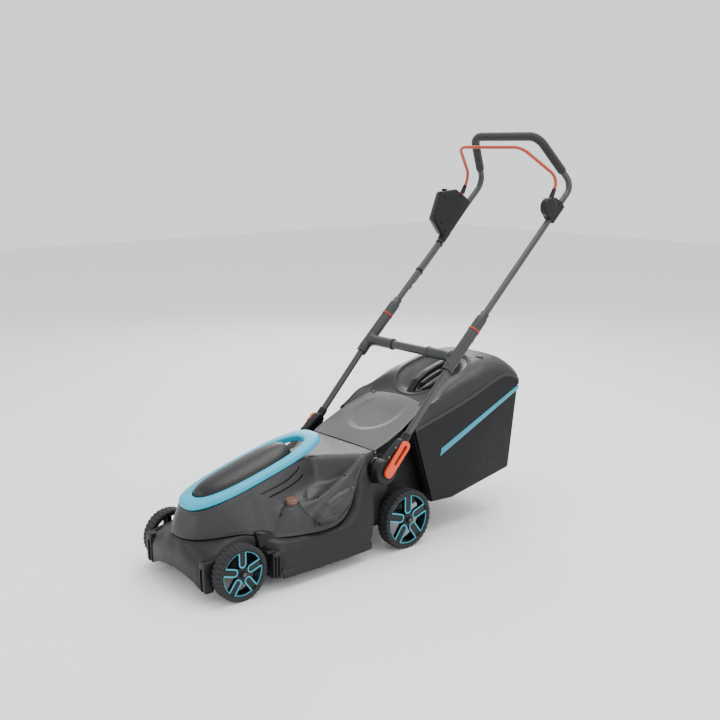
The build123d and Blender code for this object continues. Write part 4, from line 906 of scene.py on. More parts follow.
# opening over the battery bay
O = super_oval(170, 151, 53, 2.5, 120)
n = len(O)
V = np.array([ring_point(u, v, h) for h in (24, -34) for u, v in O])
well = clean(mesh("bay_cut", V, [tuple(range(n)), tuple(range(2 * n - 1, n - 1, -1))] + [(i, (i + 1) % n, (i + 1) % n + n, i + n) for i in range(n)]))
boolean(hood, [well], angle=40)
collar = lathe("button_collar", (KNOB[0], KNOB[1], 194.0), (0, 0, 1),
               [(0, 16.9), (0, 23.0), (5.6, 23.0), (8.6, 22.4), (9.6, 21.0), (9.6, 18.6), (8.2, 17.2), (4.0, 16.9), (0, 16.9)], 72, angle=60)
done(collar, M_HOOD, "chassis")
prof = [(0, 0.0), (0, 13.9), (8, 13.9), (12, 16.3), (31, 16.3), (38.0, 16.0), (40.2, 15.1), (40.9, 13.4), (40.8, 11.4), (40.1, 9.6), (39.6, 7.4), (39.5, 0.0)]
button = lathe("button_cap", (KNOB[0], KNOB[1], 177.0), (0, 0, 1), prof, 72, angle=50)
done(button, M_COPPER, "height_knob", "height_button")
pointer = prism("height_pointer", [(-3.4, 4.5), (0.6, 6.0), (3.2, 1.0), (2.0, -6.0), (-0.8, -6.5), (-3.0, -1.0)], -1.2, 1.6, plane="xy", bevel=0.6)
pointer.data.transform(Matrix.Translation(fv(143.5, -126.6, 183.2)) @ Matrix.Rotation(math.radians(12), 4, "Z") @ Matrix.Rotation(math.radians(44), 4, "X") @ Matrix.Translation(-fv(0, 0, 0)))
done(pointer, M_GLOSS, "chassis")
screws = []
for sx, sy, sz in SCREWS:
    for side in (1, -1):
        screws.append(lathe("sc", (side * sx, sy, sz - 7.0), (0, 0, 1), [(0, 0.01), (0, 3.5), (3.2, 3.5), (4.4, 2.7), (4.4, 1.7), (2.6, 1.5), (2.6, 0.01)], 32, angle=30))
for side in (1, -1):
    screws.append(lathe("sc", (side * 160, 23, 160), (side, 0, 0.15), [(0, 0.01), (0, 3.5), (4.2, 3.5), (5.4, 2.7), (5.4, 1.7), (3.6, 1.5), (3.6, 0.01)], 32, angle=30))
hs = join("hood_screw_set", screws)
clean(hs, angle=30)
done(hs, M_DARK, "chassis", "hood_screws")


# ------------------------------------------------------------------ deck
def deck_net():
    """Stations from the seam (first point) down to the lower edge, 9 points each."""
    N = []

    def st(*pts):
        N.append([list(map(float, p)) for p in pts])
    st((0, -352, 139), (0, -361, 139.5), (0, -364.5, 136), (0, -368, 124), (0, -371.5, 110), (0, -373.5, 97), (0, -374, 86), (0, -373.6, 72), (0, -372.5, 57))
    st((26, -350, 139), (29, -360, 139.5), (31, -363.5, 136), (34, -368, 124), (38, -371.5, 110), (40, -373.5, 97), (40, -374, 86), (40, -373.6, 70), (40, -372.5, 54))
    st((45, -341, 139), (51, -349.5, 139.8), (56, -355, 136), (66, -361, 125), (76, -367, 111), (83, -371, 97), (86, -372.5, 85), (87, -372, 66), (87, -371, 46))
    st((62, -328, 140), (69.5, -335.5, 140.8), (77, -342, 137), (93, -350, 128), (108, -358.5, 114), (116, -365, 99), (119.5, -368, 85), (120, -368.5, 60), (120, -367, 32))
    st((82, -302, 141.5), (89.5, -309, 143), (97, -315, 140), (113, -326, 131), (129, -339, 117), (138, -349, 101), (142, -353.5, 86), (143.5, -355, 62), (143.5, -354, 30))
    st((106, -269, 146.5), (113, -275, 148.2), (118.5, -279, 146), (128, -287, 138), (136, -296, 124), (140.5, -302, 108), (142, -305, 95), (143, -307, 80), (143, -308, 66))
    st((129, -233, 150), (136, -236.5, 151.3), (138.5, -238, 149), (141, -241, 141), (142.5, -245, 128), (143, -248, 113), (143, -250, 100), (143, -251, 86), (143, -252, 74))
    st((141, -205, 144), (148, -206.5, 145.2), (150.5, -207, 142.5), (152.5, -208, 136), (153.5, -208, 127), (153.5, -208, 116), (153, -208, 106), (152, -208, 95), (151, -208, 84))
    st((150, -185, 137), (156.5, -186, 139.4), (160, -186, 136.8), (165.5, -186, 131.5), (170, -186, 124), (172.5, -186, 114), (173, -186, 104), (173, -186, 92), (173, -186, 80))
    st((157.5, -163, 131.5), (163.5, -163, 133.2), (167.5, -163, 131), (175.5, -163, 126.5), (183, -163, 119.5), (189, -163, 110), (193.5, -163, 100.5), (197, -163, 80), (198, -163, 60))
    st((165, -125, 124.5), (171.3, -125, 126.6), (175.5, -125, 124.6), (183.5, -125, 120.5), (189.5, -125, 114.5), (193, -125, 106.5), (196, -125, 97.5), (199, -125, 79), (200, -125, 60))
    st((169, -80, 119), (175.4, -80, 121.2), (179.5, -80, 119.4), (186.5, -80, 115.6), (191.5, -80, 110), (194.5, -80, 103.0), (197.5, -80, 95), (200, -80, 78), (200.8, -80, 60))
    st((171, -30, 114.5), (177.2, -30, 116.8), (181, -30, 115), (187.5, -30, 111.6), (192, -30, 106.5), (195, -30, 100), (198, -30, 92), (200.3, -30, 77), (201, -30, 60))
    st((170.5, 15, 114.5), (176.8, 15, 116.6), (180.6, 15, 114.9), (187, 15, 111.6), (191.5, 15, 106.6), (194.6, 15, 100), (197.6, 15, 92), (200, 15, 77), (200.8, 15, 60))
    st((169.5, 50, 119.5), (175.4, 50, 121.4), (179.4, 50, 119.6), (185.8, 50, 116), (190.5, 50, 110), (193.8, 50, 102), (196.8, 50, 92), (199.3, 50, 77), (200.2, 50, 60))
    st((168, 75, 134), (173.6, 75, 137.5), (177.8, 75.5, 134.5), (184, 76, 128), (189, 76, 119), (192.6, 76, 107), (195.8, 76, 94), (198.6, 76, 77), (199.6, 76, 60))
    st((165.5, 95, 157), (171.2, 96, 160), (175.6, 97, 155), (182.4, 97, 144), (187.8, 96, 130), (191.8, 96, 113), (195.2, 96, 96), (198.1, 96, 77), (199.1, 96, 60))
    st((161, 113, 195), (166.8, 114, 198.5), (171, 115, 190), (178.4, 115, 170), (184.8, 114, 147), (189.8, 113, 122), (193.8, 113, 100), (197, 113, 78), (198.2, 113, 60))
    st((156.5, 130, 235.5), (162.3, 131, 238.5), (166.5, 132, 227), (174.2, 132, 199), (181.2, 131, 167), (187, 130, 134), (191.8, 130, 106), (195.6, 130, 80), (197, 130, 60))
    st((152, 146, 257), (157.6, 146.5, 260.5), (162, 147, 250), (170, 147, 222), (177.6, 146.5, 188), (184, 146, 150), (189.4, 146, 115), (193.8, 146, 84), (195.8, 146, 60))
    st((147, 165, 274.5), (152.3, 165, 277.3), (157, 165, 270), (164.5, 165, 248), (171.5, 165, 218), (177.5, 165, 184), (182.5, 165, 150), (186.5, 165, 126), (188.5, 165, 108))
    st((142, 184, 277.5), (147.3, 184, 280.6), (152, 184, 275), (159, 184, 256), (165, 184, 230), (170, 184, 200), (174, 184, 168), (177, 184, 137), (178.5, 184, 108))
    st((137, 203, 279), (142.3, 203, 282.6), (147, 203, 278), (154, 203, 260), (160, 203, 235), (164.5, 203, 205), (168, 203, 172), (170, 203, 138), (171, 203, 106))
    st((136, 235, 280), (141, 235, 282.6), (146, 235, 278), (153, 235, 260), (159, 235, 235), (163, 235, 205), (166, 235, 172), (168, 235, 138), (169, 235, 106))
    return np.array(N, float)


def build_deck():
    half = rows(deck_net(), 330, 70)
    half = fair(half, 2)
    # mirror the half to the left side; the net's second row gives the raised lip along the seam
    L = half.copy()
    L[..., 0] *= -1
    half[0, :, 0] = 0
    L[0, :, 0] = 0
    G = np.concatenate([L[:0:-1], half], axis=0)
    if normals_of(G)[G.shape[0] // 2 + 160, 35, 0] < 0:
        G = G[::-1].copy()
    body = shell("deck_upper", G, 3.6, angle=40)
    parts = []
    covers = []
    ducts = []
    # skirts
    for side in (1, -1):
        sk = []
        for y, top_x, top_z in ((-163.5, 198, 61), (-125, 200, 61), (-80, 200.8, 61), (-30, 201, 61), (15, 200.8, 61), (50, 200.2, 61), (96, 199.1, 61), (130, 197, 61), (146.5, 195.8, 61)):
            sk.append([(side * x, y, z) for x, z in ((top_x - 0.3, top_z), (top_x + 0.1, 56), (top_x + 0.4, 51.5), (top_x + 2.2, 48.5), (top_x + 3.2, 44), (top_x + 3.3, 38), (top_x + 3.3, 31))])
        S = rows(np.array(sk, float), 110, 26)
        if normals_of(S)[50, 12, 0] * side < 0:
            S = S[::-1].copy()
        parts.append(shell("skirt", S, 4.2, angle=40))
    # front shield's inner wall and legs
    for side in (1, -1):
        leg = prism("leg", [(-369.5, 112), (-371.8, 96), (-371.2, 60), (-370, 34), (-367, 28.5), (-350, 27.6), (-343, 30), (-341, 60), (-341, 112)],
                    side * 122, side * 147.2, bevel=2.2, seg=3)
        slot = slab("slot", (min(side * 127, side * 138), -376, 26), (max(side * 127, side * 138), -352, 94), bevel=0)
        boolean(leg, [slot])
        parts.append(leg)
        parts.append(slab("leg_brace", (min(side * 112, side * 124), -366, 40), (max(side * 112, side * 124), -341, 100), 1.5))
        # arm over the front of the wheel
        parts.append(prism("wing", [(-352, 112), (-330, 118), (-300, 124), (-270, 120), (-262, 110), (-268, 104), (-300, 108), (-330, 102), (-352, 96)],
                           side * 138, side * 149, bevel=1.5))
        # comb behind the front wheel
        for k in range(3):
            y0 = -189 + 9.2 * k
            parts.append(slab("comb", (min(side * 150, side * (193 + 1.5 * k)), y0, 36 - 1.5 * k), (max(side * 150, side * (193 + 1.5 * k)), y0 + 5.6, 101 + 1.5 * k), 1.6, 3))
        parts.append(slab("comb_web", (min(side * 150, side * 187), -187, 40), (max(side * 150, side * 187), -163, 96), 1.0))
        parts.append(prism("comb_shelf", [(-192, 96), (-188, 103), (-160, 108), (-120, 106.5), (-112, 101), (-120, 95), (-165, 92)], side * 150, side * 196.5, bevel=2.5, seg=3))
        # cover over the axle arm
        cov = []
        for y, x0, x1, z1, z0 in ((-214.5, 128, 155.5, 158.5, 118), (-206, 128, 160.5, 159.5, 118), (-185, 128, 163.0, 156.0, 116), (-170, 128, 164.5, 150.5, 116), (-166.0, 128, 164.0, 146.0, 118)):
            cov.append([(side * x0, y, z1), (side * (x1 - 8), y, z1), (side * (x1 - 1.5), y, z1 - 2.5), (side * x1, y, z1 - 9), (side * (x1 + 1.5), y, z0)])
        C = np.array(cov, float)
        V = np.concatenate([C.reshape(-1, 3), [(side * 128, c[0][1], c[-1][2]) for c in cov]])
        n, m = C.shape[:2]
        F = quads(n, m)
        base = n * m
        F += [(i * m + m - 1, (i + 1) * m + m - 1, base + i + 1, base + i) for i in range(n - 1)]
        F += [((i + 1) * m, i * m, base + i, base + i + 1) for i in range(n - 1)]
        F += [tuple([base] + list(range(m - 1, -1, -1))), tuple(list(range((n - 1) * m, n * m)) + [base + n - 1])]
        c = clean(mesh("arm_cover", V, F, smooth=False), angle=30)
        rounded(c, 1.6, 3)
        covers.append(c)
        # plain inner walls: wheel side, duct and bearing lugs
        parts.append(slab("rear_inner", (min(side * 125, side * 131), 146, 62), (max(side * 125, side * 131), 355, 104), 1.0))
        ducts.append(prism("duct_side", [(200, 100), (358, 92), (410.5, 102), (335.5, 332), (225, 296), (206, 287), (200, 250)], side * 125.2, side * 130.8, bevel=1.0))
        ducts.append(prism("duct_lip", [(407.5, 103), (410, 103), (335, 331), (332.5, 331)], side * 129, side * 167, bevel=0.5))
        parts.append(lathe("bearing_r", (side * 125, 342.5, 71), (side, 0, 0), [(0, 15), (15, 15), (17, 13), (17, 6.2), (0, 6.2), (0, 15)], 48))
        parts.append(lathe("bearing_f", (side * 122, -222.5, 59), (side, 0, 0), [(0, 15), (13, 15), (14.5, 13), (14.5, 6.2), (0, 6.2), (0, 15)], 48))
        parts.append(prism("bearing_hang", [(-238, 104), (-236, 58), (-230, 52), (-215, 52), (-209, 58), (-207, 104)], side * 123, side * 135, bevel=1.5))
    # roof plate, front and rear walls of the blade chamber, duct floor
    parts.append(slab("roof", (-186, -200, 104.2), (186, 150, 108), 0.8))
    parts.append(slab("nose_floor", (-136, -352, 104.2), (136, -199, 108), 0.8))
    parts.append(slab("front_wall", (-150, -201.5, 46), (150, -198, 105), 0.8))
    parts.append(slab("rear_wall", (-186, 146, 60), (-125, 150, 106), 0.8))
    parts.append(slab("rear_wall2", (125, 146, 60), (186, 150, 106), 0.8))
    parts.append(slab("duct_floor", (-126, 225, 106), (126, 396, 110), 0.8))
    parts.append(slab("duct_front", (-126, 146, 104), (126, 150, 262), 0.8))
    parts.append(slab("duct_roof", (-142, 146, 276), (142, 226, 280), 0.8))
    for side in (1, -1):
        parts.append(prism("flap_lug", [(203, 283), (203, 291), (208, 294), (216, 294), (221, 290), (221, 280), (203, 280)], side * 127, side * 137, bevel=1.0))
    rest = parts
    # rear wheel arches
    arch = [lathe("arch", (side * 158, 282.5, 87), (side, 0, 0), [(0, 102), (80, 102)], 96) for side in (1, -1)]
    drum = [lathe("drum", (side * 157, PIVOT[0], PIVOT[1]), (side, 0, 0), [(0, 40.5), (80, 40.5)], 96) for side in (1, -1)]
    boolean(body, arch + drum)
    return body, rest, covers, ducts


deck, deck_rest, deck_covers, deck_ducts = build_deck()
done(deck, M_DECK, "chassis", "deck_housing")
duct_walls = join("duct_side_walls", deck_ducts)
clean(duct_walls, angle=35)
done(duct_walls, M_BOX, "chassis")
covers = join("axle_arm_covers", deck_covers)
covers.data.set_sharp_from_angle(angle=math.radians(35))
done(covers, M_GLOSS, "chassis")
inner = join("deck_ribs_and_walls", deck_rest)
inner.data.set_sharp_from_angle(angle=math.radians(35))
done(inner, M_DECK, "chassis")


# ------------------------------------------------------------------ carry ring
def build_ring():
    n = 320
    A = super_oval(199.5, 226.5, 82, 2.8, n)
    B = super_oval(195.5, 184.5, 60.5, 2.5, 4000)
    T = np.roll(A, -1, 0) - np.roll(A, 1, 0)
    Nn = np.stack([T[:, 1], -T[:, 0]], 1)
    Nn /= np.linalg.norm(Nn, axis=1, keepdims=True)
    # inner point for each outer one: along the normal to the inner oval
    I = np.zeros_like(A)
    for i in range(n):
        d = B - A[i]
        along = d @ -Nn[i]
        off = np.abs(d @ np.array([-Nn[i][1], Nn[i][0]]))
        off[along < 0] = 1e9
        I[i] = B[np.argmin(off + 0.02 * along)]
    for _ in range(30):
        I = 0.5 * I + 0.25 * (np.roll(I, 1, 0) + np.roll(I, -1, 0))
    # section: (share from outer to inner, height)
    sec = [(0.10, -3.0), (0.015, -1.8), (-0.015, 1.0), (-0.01, 5.0), (0.02, 9.0), (0.07, 11.8), (0.15, 13.6), (0.28, 14.9), (0.48, 15.9), (0.68, 16.5), (0.82, 16.6), (0.92, 16.1), (0.975, 14.6), (1.0, 12.4), (1.0, 7.0), (0.99, 2.0), (0.97, -1.6), (0.90, -3.0), (0.5, -3.0)]
    sec = np.array(sec)
    k = np.arange(len(sec) + 1)
    closed = np.concatenate([sec, sec[:1]])
    t = np.linspace(0, len(sec), 57)[:-1]
    ext = np.concatenate([sec[-3:], sec, sec[:3]])
    sec = spline(ext, t_new=t, T=np.arange(-3, len(sec) + 3))
    V = []
    for i in range(n):
        for a, h in sec:
            u, v = A[i] + (I[i] - A[i]) * a
            V.append(ring_point(u, v, h))
    V = np.array(V)
    ob = mesh("carry_ring", V, quads(n, len(sec), wrap_u=True, wrap_v=True))
    return clean(ob)


ring = build_ring()
done(ring, M_CYAN, "chassis", "carry_handle")

# ------------------------------------------------------------------ battery lid
def build_lid():
    n = 260
    levels = [(0.0, 1.2, 0.0), (0.0, 3.0, 0.0), (0.35, 6.0, 0.2), (1.1, 9.0, 0.6), (2.6, 12.6, 1.6), (5.2, 17.0, 3.4), (9.6, 22.0, 6.6), (16.0, 27.0, 11.5), (24.5, 31.6, 19.0), (34.0, 35.2, 33.0), (43.0, 37.4, 56.0), (49.6, 38.6, 90.0), (53.0, 39.0, 120.0)]
    rowsV = []
    for inset_w, h, inset_l in levels:
        O = super_oval(169.5, 157.5 - inset_l, max(59.0 - inset_w, 0.6), 2.5 - 0.1 * min(1, inset_w / 40), n)
        rowsV.append(np.concatenate([O, np.full((n, 1), h)], 1))
    G = np.array(rowsV)
    G = spline(G, count=44)
    G = np.roll(G, 0, 1)
    V = np.array([ring_point(u, v, h) for u, v, h in G.reshape(-1, 3)])
    m = n
    F = quads(len(G), m, wrap_v=True)
    F.append(tuple(range((len(G) - 1) * m, len(G) * m)))
    base = np.array([ring_point(u, v, -4.0) for u, v in super_oval(169.5, 157.5, 59.0, 2.5, n)])
    V = np.concatenate([V, base])
    off = len(G) * m
    F += [(j, off + j, off + (j + 1) % m, (j + 1) % m) for j in range(m)]
    F.append(tuple(off + j for j in range(m))[::-1])
    ob = mesh("battery_cover", V, F)
    return clean(ob, angle=50)


lid = build_lid()
done(lid, M_LID, "lid", "battery_lid")

# small round catch at the back of the cover
dot = lathe("lid_catch", tuple(ring_point(0, 319, 9.0)), (0, 0.30, 0.95), [(0, 0.0), (0, 3.4), (2.2, 3.2), (3.2, 2.2), (3.6, 0.0)], 32)
done(dot, M_WHITE, "lid")

# ------------------------------------------------------------------ rear flap
FL = math.radians(23.8)


def flap_point(u, v, h):
    return (u, 206 + v * math.cos(FL) - h * math.sin(FL), 296 + v * math.sin(FL) + h * math.cos(FL))


def build_flap():
    nv, nu = 150, 190
    vs = [0, 50, 110, 190, 231, 260]
    ws = [140, 146, 145, 132, 118, 112]
    G = np.zeros((nv, nu, 3))
    for j, sft in enumerate(np.linspace(-1, 1, nu)):
        end = 231 + 18 * (1 - abs(sft) ** 2.2)
        for i, t in enumerate(np.linspace(0, 1, nv)):
            v = t * end
            w = float(np.interp(v, vs, ws))
            w = w - 9 * max(0.0, (t - 0.93) / 0.07) ** 2 if abs(sft) > 0.9 else w
            u = sft * w
            d = math.hypot(u + 6, v - 152) - 94
            h = -3.4 * float(sstep(0, -20, d)) * float(sstep(226, 150, v)) - 0.5 * float(sstep(0, -3, d)) * float(sstep(190, 110, v))
            h += -2.2 * (u / 146) ** 2
            edge = w - abs(u)
            h += 1.0 * float(sstep(7.5, 5.5, edge)) - 1.6 * float(sstep(2.4, 0.0, edge))
            h -= 1.6 * float(sstep(3.0, 0.0, end - v))
            G[i, j] = flap_point(u, v, h)
    if normals_of(G)[nv // 2, nu // 2, 2] < 0:
        G = G[:, ::-1].copy()
    plate = shell("flap_plate", G, 3.6, angle=40)
    return plate


flap = build_flap()
barrel = [lathe("fb", (-121, 212, 287), (1, 0, 0), [(0, 3.3), (0, 5.6), (0.9, 6.5), (60.1, 6.5), (61, 5.6), (61, 3.3), (0, 3.3)], 40),
          lathe("fb", (-30, 212, 287), (1, 0, 0), [(0, 3.3), (0, 5.6), (0.9, 6.5), (59.1, 6.5), (60, 5.6), (60, 3.3), (0, 3.3)], 40),
          lathe("fb", (60, 212, 287), (1, 0, 0), [(0, 3.3), (0, 5.6), (0.9, 6.5), (60.1, 6.5), (61, 5.6), (61, 3.3), (0, 3.3)], 40)]
for x0, x1 in ((-121, -61), (-29, 29), (61, 121)):
    barrel.append(prism("web", [(207, 289), (207.2, 293.6), (221, 299.6), (217, 288)], x0, x1, bevel=0.6))
for u in (-100, -50, 0, 50, 100):
    a, b = flap_point(u, 22, -4.4), flap_point(u, 200, -4.4)
    barrel.append(prism("rib", [(a[1], a[2]), (b[1], b[2]), (b[1] + 1.6, b[2] - 3.6), (a[1] + 1.6, a[2] - 3.6)], u - 1.1, u + 1.1, bevel=0.4))
flap = join("flap_panel", [flap] + barrel)
flap.data.set_sharp_from_angle(angle=math.radians(40))
done(flap, M_FLAP, "flap", "rear_flap")

# ------------------------------------------------------------------ grass box
CREASE = [(338, 334), (400, 351), (445, 362), (530, 385), (600, 407), (663, 430), (720, 444), (760, 436), (785, 419)]


def build_tub():
    back = [(412, 100), (497, 95), (750, 140), (787, 413), (785, 418.5)]
    outline = back + [(y, z - 0.5) for y, z in CREASE[-2::-1]]
    n = len(outline)
    V = [(-172, y, z) for y, z in outline] + [(172, y, z) for y, z in outline]
    F = [tuple(range(n)), tuple(range(2 * n - 1, n - 1, -1))] + [(i, (i + 1) % n, (i + 1) % n + n, i + n) for i in range(n)]
    ob = clean(mesh("box_shell", V, F, smooth=False))
    bm = bmesh.new()
    bm.from_mesh(ob.data)

    def is_at(v, p):
        q = v.co * 1000
        return abs(q.y + ROW_Y - p[0]) < 0.2 and abs(q.z - p[1]) < 0.2
    pick = []
    for e in bm.edges:
        a, b = e.verts
        ia = [k for k, p in enumerate(back) if is_at(a, p)]
        ib = [k for k, p in enumerate(back) if is_at(b, p)]
        if ia and ib:
            if ia[0] != ib[0] or ia[0] in (1, 2):
                pick.append(e)
    bmesh.ops.bevel(bm, geom=pick, offset=0.0075, segments=5, profile=0.5, affect="EDGES", clamp_overlap=True)
    bm.to_mesh(ob.data)
    bm.free()
    inside = prism("inside", [(408, 104), (497, 98.5), (747, 143), (783.5, 413), (782, 470), (330, 470), (334, 330)], -169.5, 169.5)
    boolean(ob, [inside], angle=30)
    frame = prism("mouth", [(413, 103), (421, 103), (346, 334), (339, 331)], -169.8, 169.8)
    hole = prism("hole", [(400, 116), (440, 116), (378, 322), (330, 322)], -148, 148)
    boolean(frame, [hole], angle=30)
    return ob, frame


tub, mouth = build_tub()
extra = [mouth]
# stiffening ribs on the floor inside
for x in (-110, -55, 0, 55, 110):
    extra.append(prism("floor_rib", [(500, 99), (745, 142.5), (744, 146.5), (500, 103)], x - 1.5, x + 1.5, bevel=0.5))
for side in (1, -1):
    # hook that hangs on the chute
    extra.append(slab("hook", (side * 150 - 6, 336.0, 326), (side * 150 + 6, 344, 334), 1.0))
tub_all = join("grass_box_tub", [tub] + extra)
tub_all.data.set_sharp_from_angle(angle=math.radians(32))
done(tub_all, M_BOX, "grass_box", "box_tub")

BOX_TOP = [
    (338, [(0, 346), (60, 346), (110, 346), (140, 346), (150, 350), (162, 349), (172, 335)]),
    (400, [(0, 371), (60, 371), (104, 371), (124, 373), (150, 393), (165, 378), (172, 352)]),
    (445, [(0, 392), (60, 393), (110, 396), (135, 401), (150, 405), (165, 391), (172, 363)]),
    (530, [(0, 440), (60, 443), (110, 445), (135, 443), (150, 437), (165, 416), (172, 386)]),
    (600, [(0, 469), (60, 470), (110, 467), (135, 460), (150, 452), (165, 433), (172, 408)]),
    (663, [(0, 487), (60, 488), (110, 484), (135, 477), (150, 467), (165, 449), (172, 431)]),
    (720, [(0, 494), (60, 493), (110, 489), (135, 482), (150, 474), (165, 460), (172, 445)]),
    (760, [(0, 492), (60, 491), (110, 485), (135, 476), (150, 468), (165, 454), (172, 437)]),
    (785, [(0, 470), (60, 469), (110, 465), (135, 460), (150, 452), (165, 438), (172, 420)]),
]
DISH_T = math.tan(math.radians(18))


def dish_r(x, y):
    v = (y - 565) / math.cos(math.radians(18))
    return ((np.abs(v - 6) / 122) ** 2.2 + (np.abs(x) / 109) ** 2.2) ** (1 / 2.2)


def build_box_lid():
    net = []
    for y, half in BOX_TOP:
        line = [(-x, y, z) for x, z in half[:0:-1]] + [(x, y, z) for x, z in half]
        net.append(line)
    G = rows(np.array(net, float), 250, 260)
    G = fair(G, 2)
    x, y, z = G[..., 0].copy(), G[..., 1].copy(), G[..., 2].copy()
    r = dish_r(x, y)
    zp = 440 + DISH_T * (y - 565)
    bowl = zp - 25
    t = 0.22 * sstep(0.998, 0.93, r) + 0.78 * sstep(0.97, 0.42, r)
    z2 = z * (1 - t) + np.minimum(z, bowl) * t
    z2 = z2 + 1.6 * sstep(1.04, 1.01, r) * (1 - sstep(1.0, 0.985, r))
    # mask of the indicator area
    tri = (x > 66) & (x < 104) & (y > 688) & (y < 720)
    G[..., 2] = z2
    # make the normals point outward
    if normals_of(G)[100, 20, 2] < 0:
        G = G[:, ::-1].copy()
    ob = shell("lid_skin", G, 3.2, angle=42)
    me = ob.data
    me.materials.append(M_BOXLID)
    me.materials.append(M_BLACK)
    co = np.zeros(len(me.polygons) * 3)
    me.polygons.foreach_get("center", co)
    co = co.reshape(-1, 3) * 1000
    rr = dish_r(co[:, 0], co[:, 1] + ROW_Y)
    # the dish centre (r < 0.60) gets the black material: painted shade for the deep pocket under the handle
    me.polygons.foreach_set("material_index", (rr < 0.60).astype(np.int32))
    return ob


blid = build_box_lid()
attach(blid, "grass_box")
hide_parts("box_lid")

# rim that hangs over the tub, just above the crease
rim_parts = []
for side in (1, -1):
    pts = [(y, z + 1.2) for y, z in CREASE]
    n = len(pts)
    fine = spline(np.array([(y, z, 0) for y, z in pts], float), count=60)[:, :2]
    top, bot = [(y, z + 6.0) for y, z in fine], [(y, z - 5.0) for y, z in fine]
    rim_parts.append(prism("rim", bot + top[::-1], side * 168.5, side * 172.8))
rim_parts.append(slab("rim_back", (-172.8, 782.5, 406), (172.8, 787.6, 424), 0.6))
rim_band = join("box_lid_rim", rim_parts)
clean(rim_band, angle=35)
done(rim_band, M_BOXLID, "grass_box")

handle_line = fillet_path([(0, 470, 372), (0, 476, 396), (0, 505, 428), (0, 545, 449), (0, 590, 463), (0, 634, 474), (0, 668, 480)], [22, 26, 60, 90, 90])
hp, _ = resample(handle_line, 3.0)


def rrect(i, a, A=8.2, B=12.2, n=4.0):
    return (abs(math.cos(a) / A) ** n + abs(math.sin(a) / B) ** n) ** (-1 / n)


grip_bar = sweep("box_handle_arch", hp, 1.0, seg=40, radius_fn=rrect)
inner_bar = sweep("inner", resample([(0, 512, 402), (0, 530, 415), (0, 560, 428), (0, 596, 440), (0, 618, 446)], 4.0)[0], 1.0, seg=28,
                  radius_fn=lambda i, a: rrect(i, a, 6.0, 9.0, 3.0) * min(1.0, 0.35 + 0.13 * min(i, 30 - i if i < 30 else 1)))
handle_all = join("box_handle_arch", [grip_bar, inner_bar])
clean(handle_all, angle=40)
done(handle_all, M_BLACK, "grass_box", "box_handle")

stripes = []
for side in (1, -1):
    stripes.append(prism("st", [(440.5, 241), (441.5, 239.6), (444, 240.4), (785.4, 391), (786.1, 405.2), (447.5, 262.2), (445.6, 261)], side * 171.2, side * 173.2, bevel=0.5))
stripes = join("box_stripe_pair", stripes)
clean(stripes, angle=35)
done(stripes, M_STRIPE, "grass_box", "box_stripes")

# fill indicator: a small wedge over a slot
wedge = prism("fill_wedge", [(70.5, 693), (99.5, 693), (98.5, 696), (87, 714), (83, 714), (71.5, 696)], 0, 1.6, plane="xy", bevel=0.5)
wedge.data.transform(Matrix.Translation(Vector((0, 0, 0.4940))))
for v in wedge.data.vertices:
    xx = v.co.x * 1000
    v.co.z += (-0.08 * (xx - 70) - 0.6) / 1000.0
done(wedge, M_BOXLID, "fill_flap", "level_flap")
# the slot is a thin dark plate on the lid: painted shade in place of an open slot
slotm = prism("fill_slot_shade", [(68.5, 690), (101.5, 690), (101.5, 692.2), (68.5, 692.2)], 0, 0.8, plane="xy")
for v in slotm.data.vertices:
    xx = v.co.x * 1000
    v.co.z += (492.6 - 0.08 * (xx - 70)) / 1000.0
done(slotm, M_DARK, "grass_box")


# ------------------------------------------------------------------ wheels
def wheel_path(R, h, c, fil=3.2):
    """Closed line round five fingers: circle of radius R between them, finger half width h, tip arc centred at c."""
    pts = []
    a0 = math.asin(h / R)
    for k in range(5):
        base = math.radians(90 + 72 * k)
        loc = []
        # arc from the previous finger to this one
        for t in np.linspace(-math.radians(72) + a0 + 0.05, -a0 - 0.05, 26):
            loc.append((R * math.cos(t), R * math.sin(t)))
        x_out = math.sqrt(R * R - h * h)
        # rounded corner, side, tip, side
        for t in np.linspace(0, 1, 7)[1:-1]:
            p0 = (R * math.cos(-a0 - 0.05), R * math.sin(-a0 - 0.05))
            p1 = (x_out, -h)
            p2 = (x_out - fil, -h)
            loc.append(((1 - t) ** 2 * p0[0] + 2 * t * (1 - t) * p1[0] + t * t * p2[0], (1 - t) ** 2 * p0[1] + 2 * t * (1 - t) * p1[1] + t * t * p2[1]))
        loc.append((x_out - fil, -h))
        for t in np.linspace(-90, -270, 25):
            loc.append((c + h * math.cos(math.radians(t)), h * math.sin(math.radians(t))))
        loc.append((x_out - fil, h))
        for t in np.linspace(0, 1, 7)[1:-1]:
            p0 = (x_out - fil, h)
            p1 = (x_out, h)
            p2 = (R * math.cos(a0 + 0.05), R * math.sin(a0 + 0.05))
            loc.append(((1 - t) ** 2 * p0[0] + 2 * t * (1 - t) * p1[0] + t * t * p2[0], (1 - t) ** 2 * p0[1] + 2 * t * (1 - t) * p1[1] + t * t * p2[1]))
        for px, py in loc:
            pts.append((px * math.cos(base) - py * math.sin(base), px * math.sin(base) + py * math.cos(base)))
    return np.array(pts)


def ribbon(name, path, half, x0, x1, place):
    """Flat band along a closed plane line."""
    T = np.roll(path, -1, 0) - np.roll(path, 1, 0)
    T /= np.maximum(np.linalg.norm(T, axis=1, keepdims=True), 1e-9)
    N = np.stack([T[:, 1], -T[:, 0]], 1)
    n = len(path)
    sec = [(-half, x0), (-half, x1 - 0.45), (-half + 0.45, x1), (half - 0.45, x1), (half, x1 - 0.45), (half, x0)]
    V = []
    for i in range(n):
        for o, x in sec:
            q = path[i] + N[i] * o
            V.append(place(x, q[0], q[1]))
    return clean(mesh(name, V, quads(n, len(sec), wrap_u=True, wrap_v=True)), angle=35)


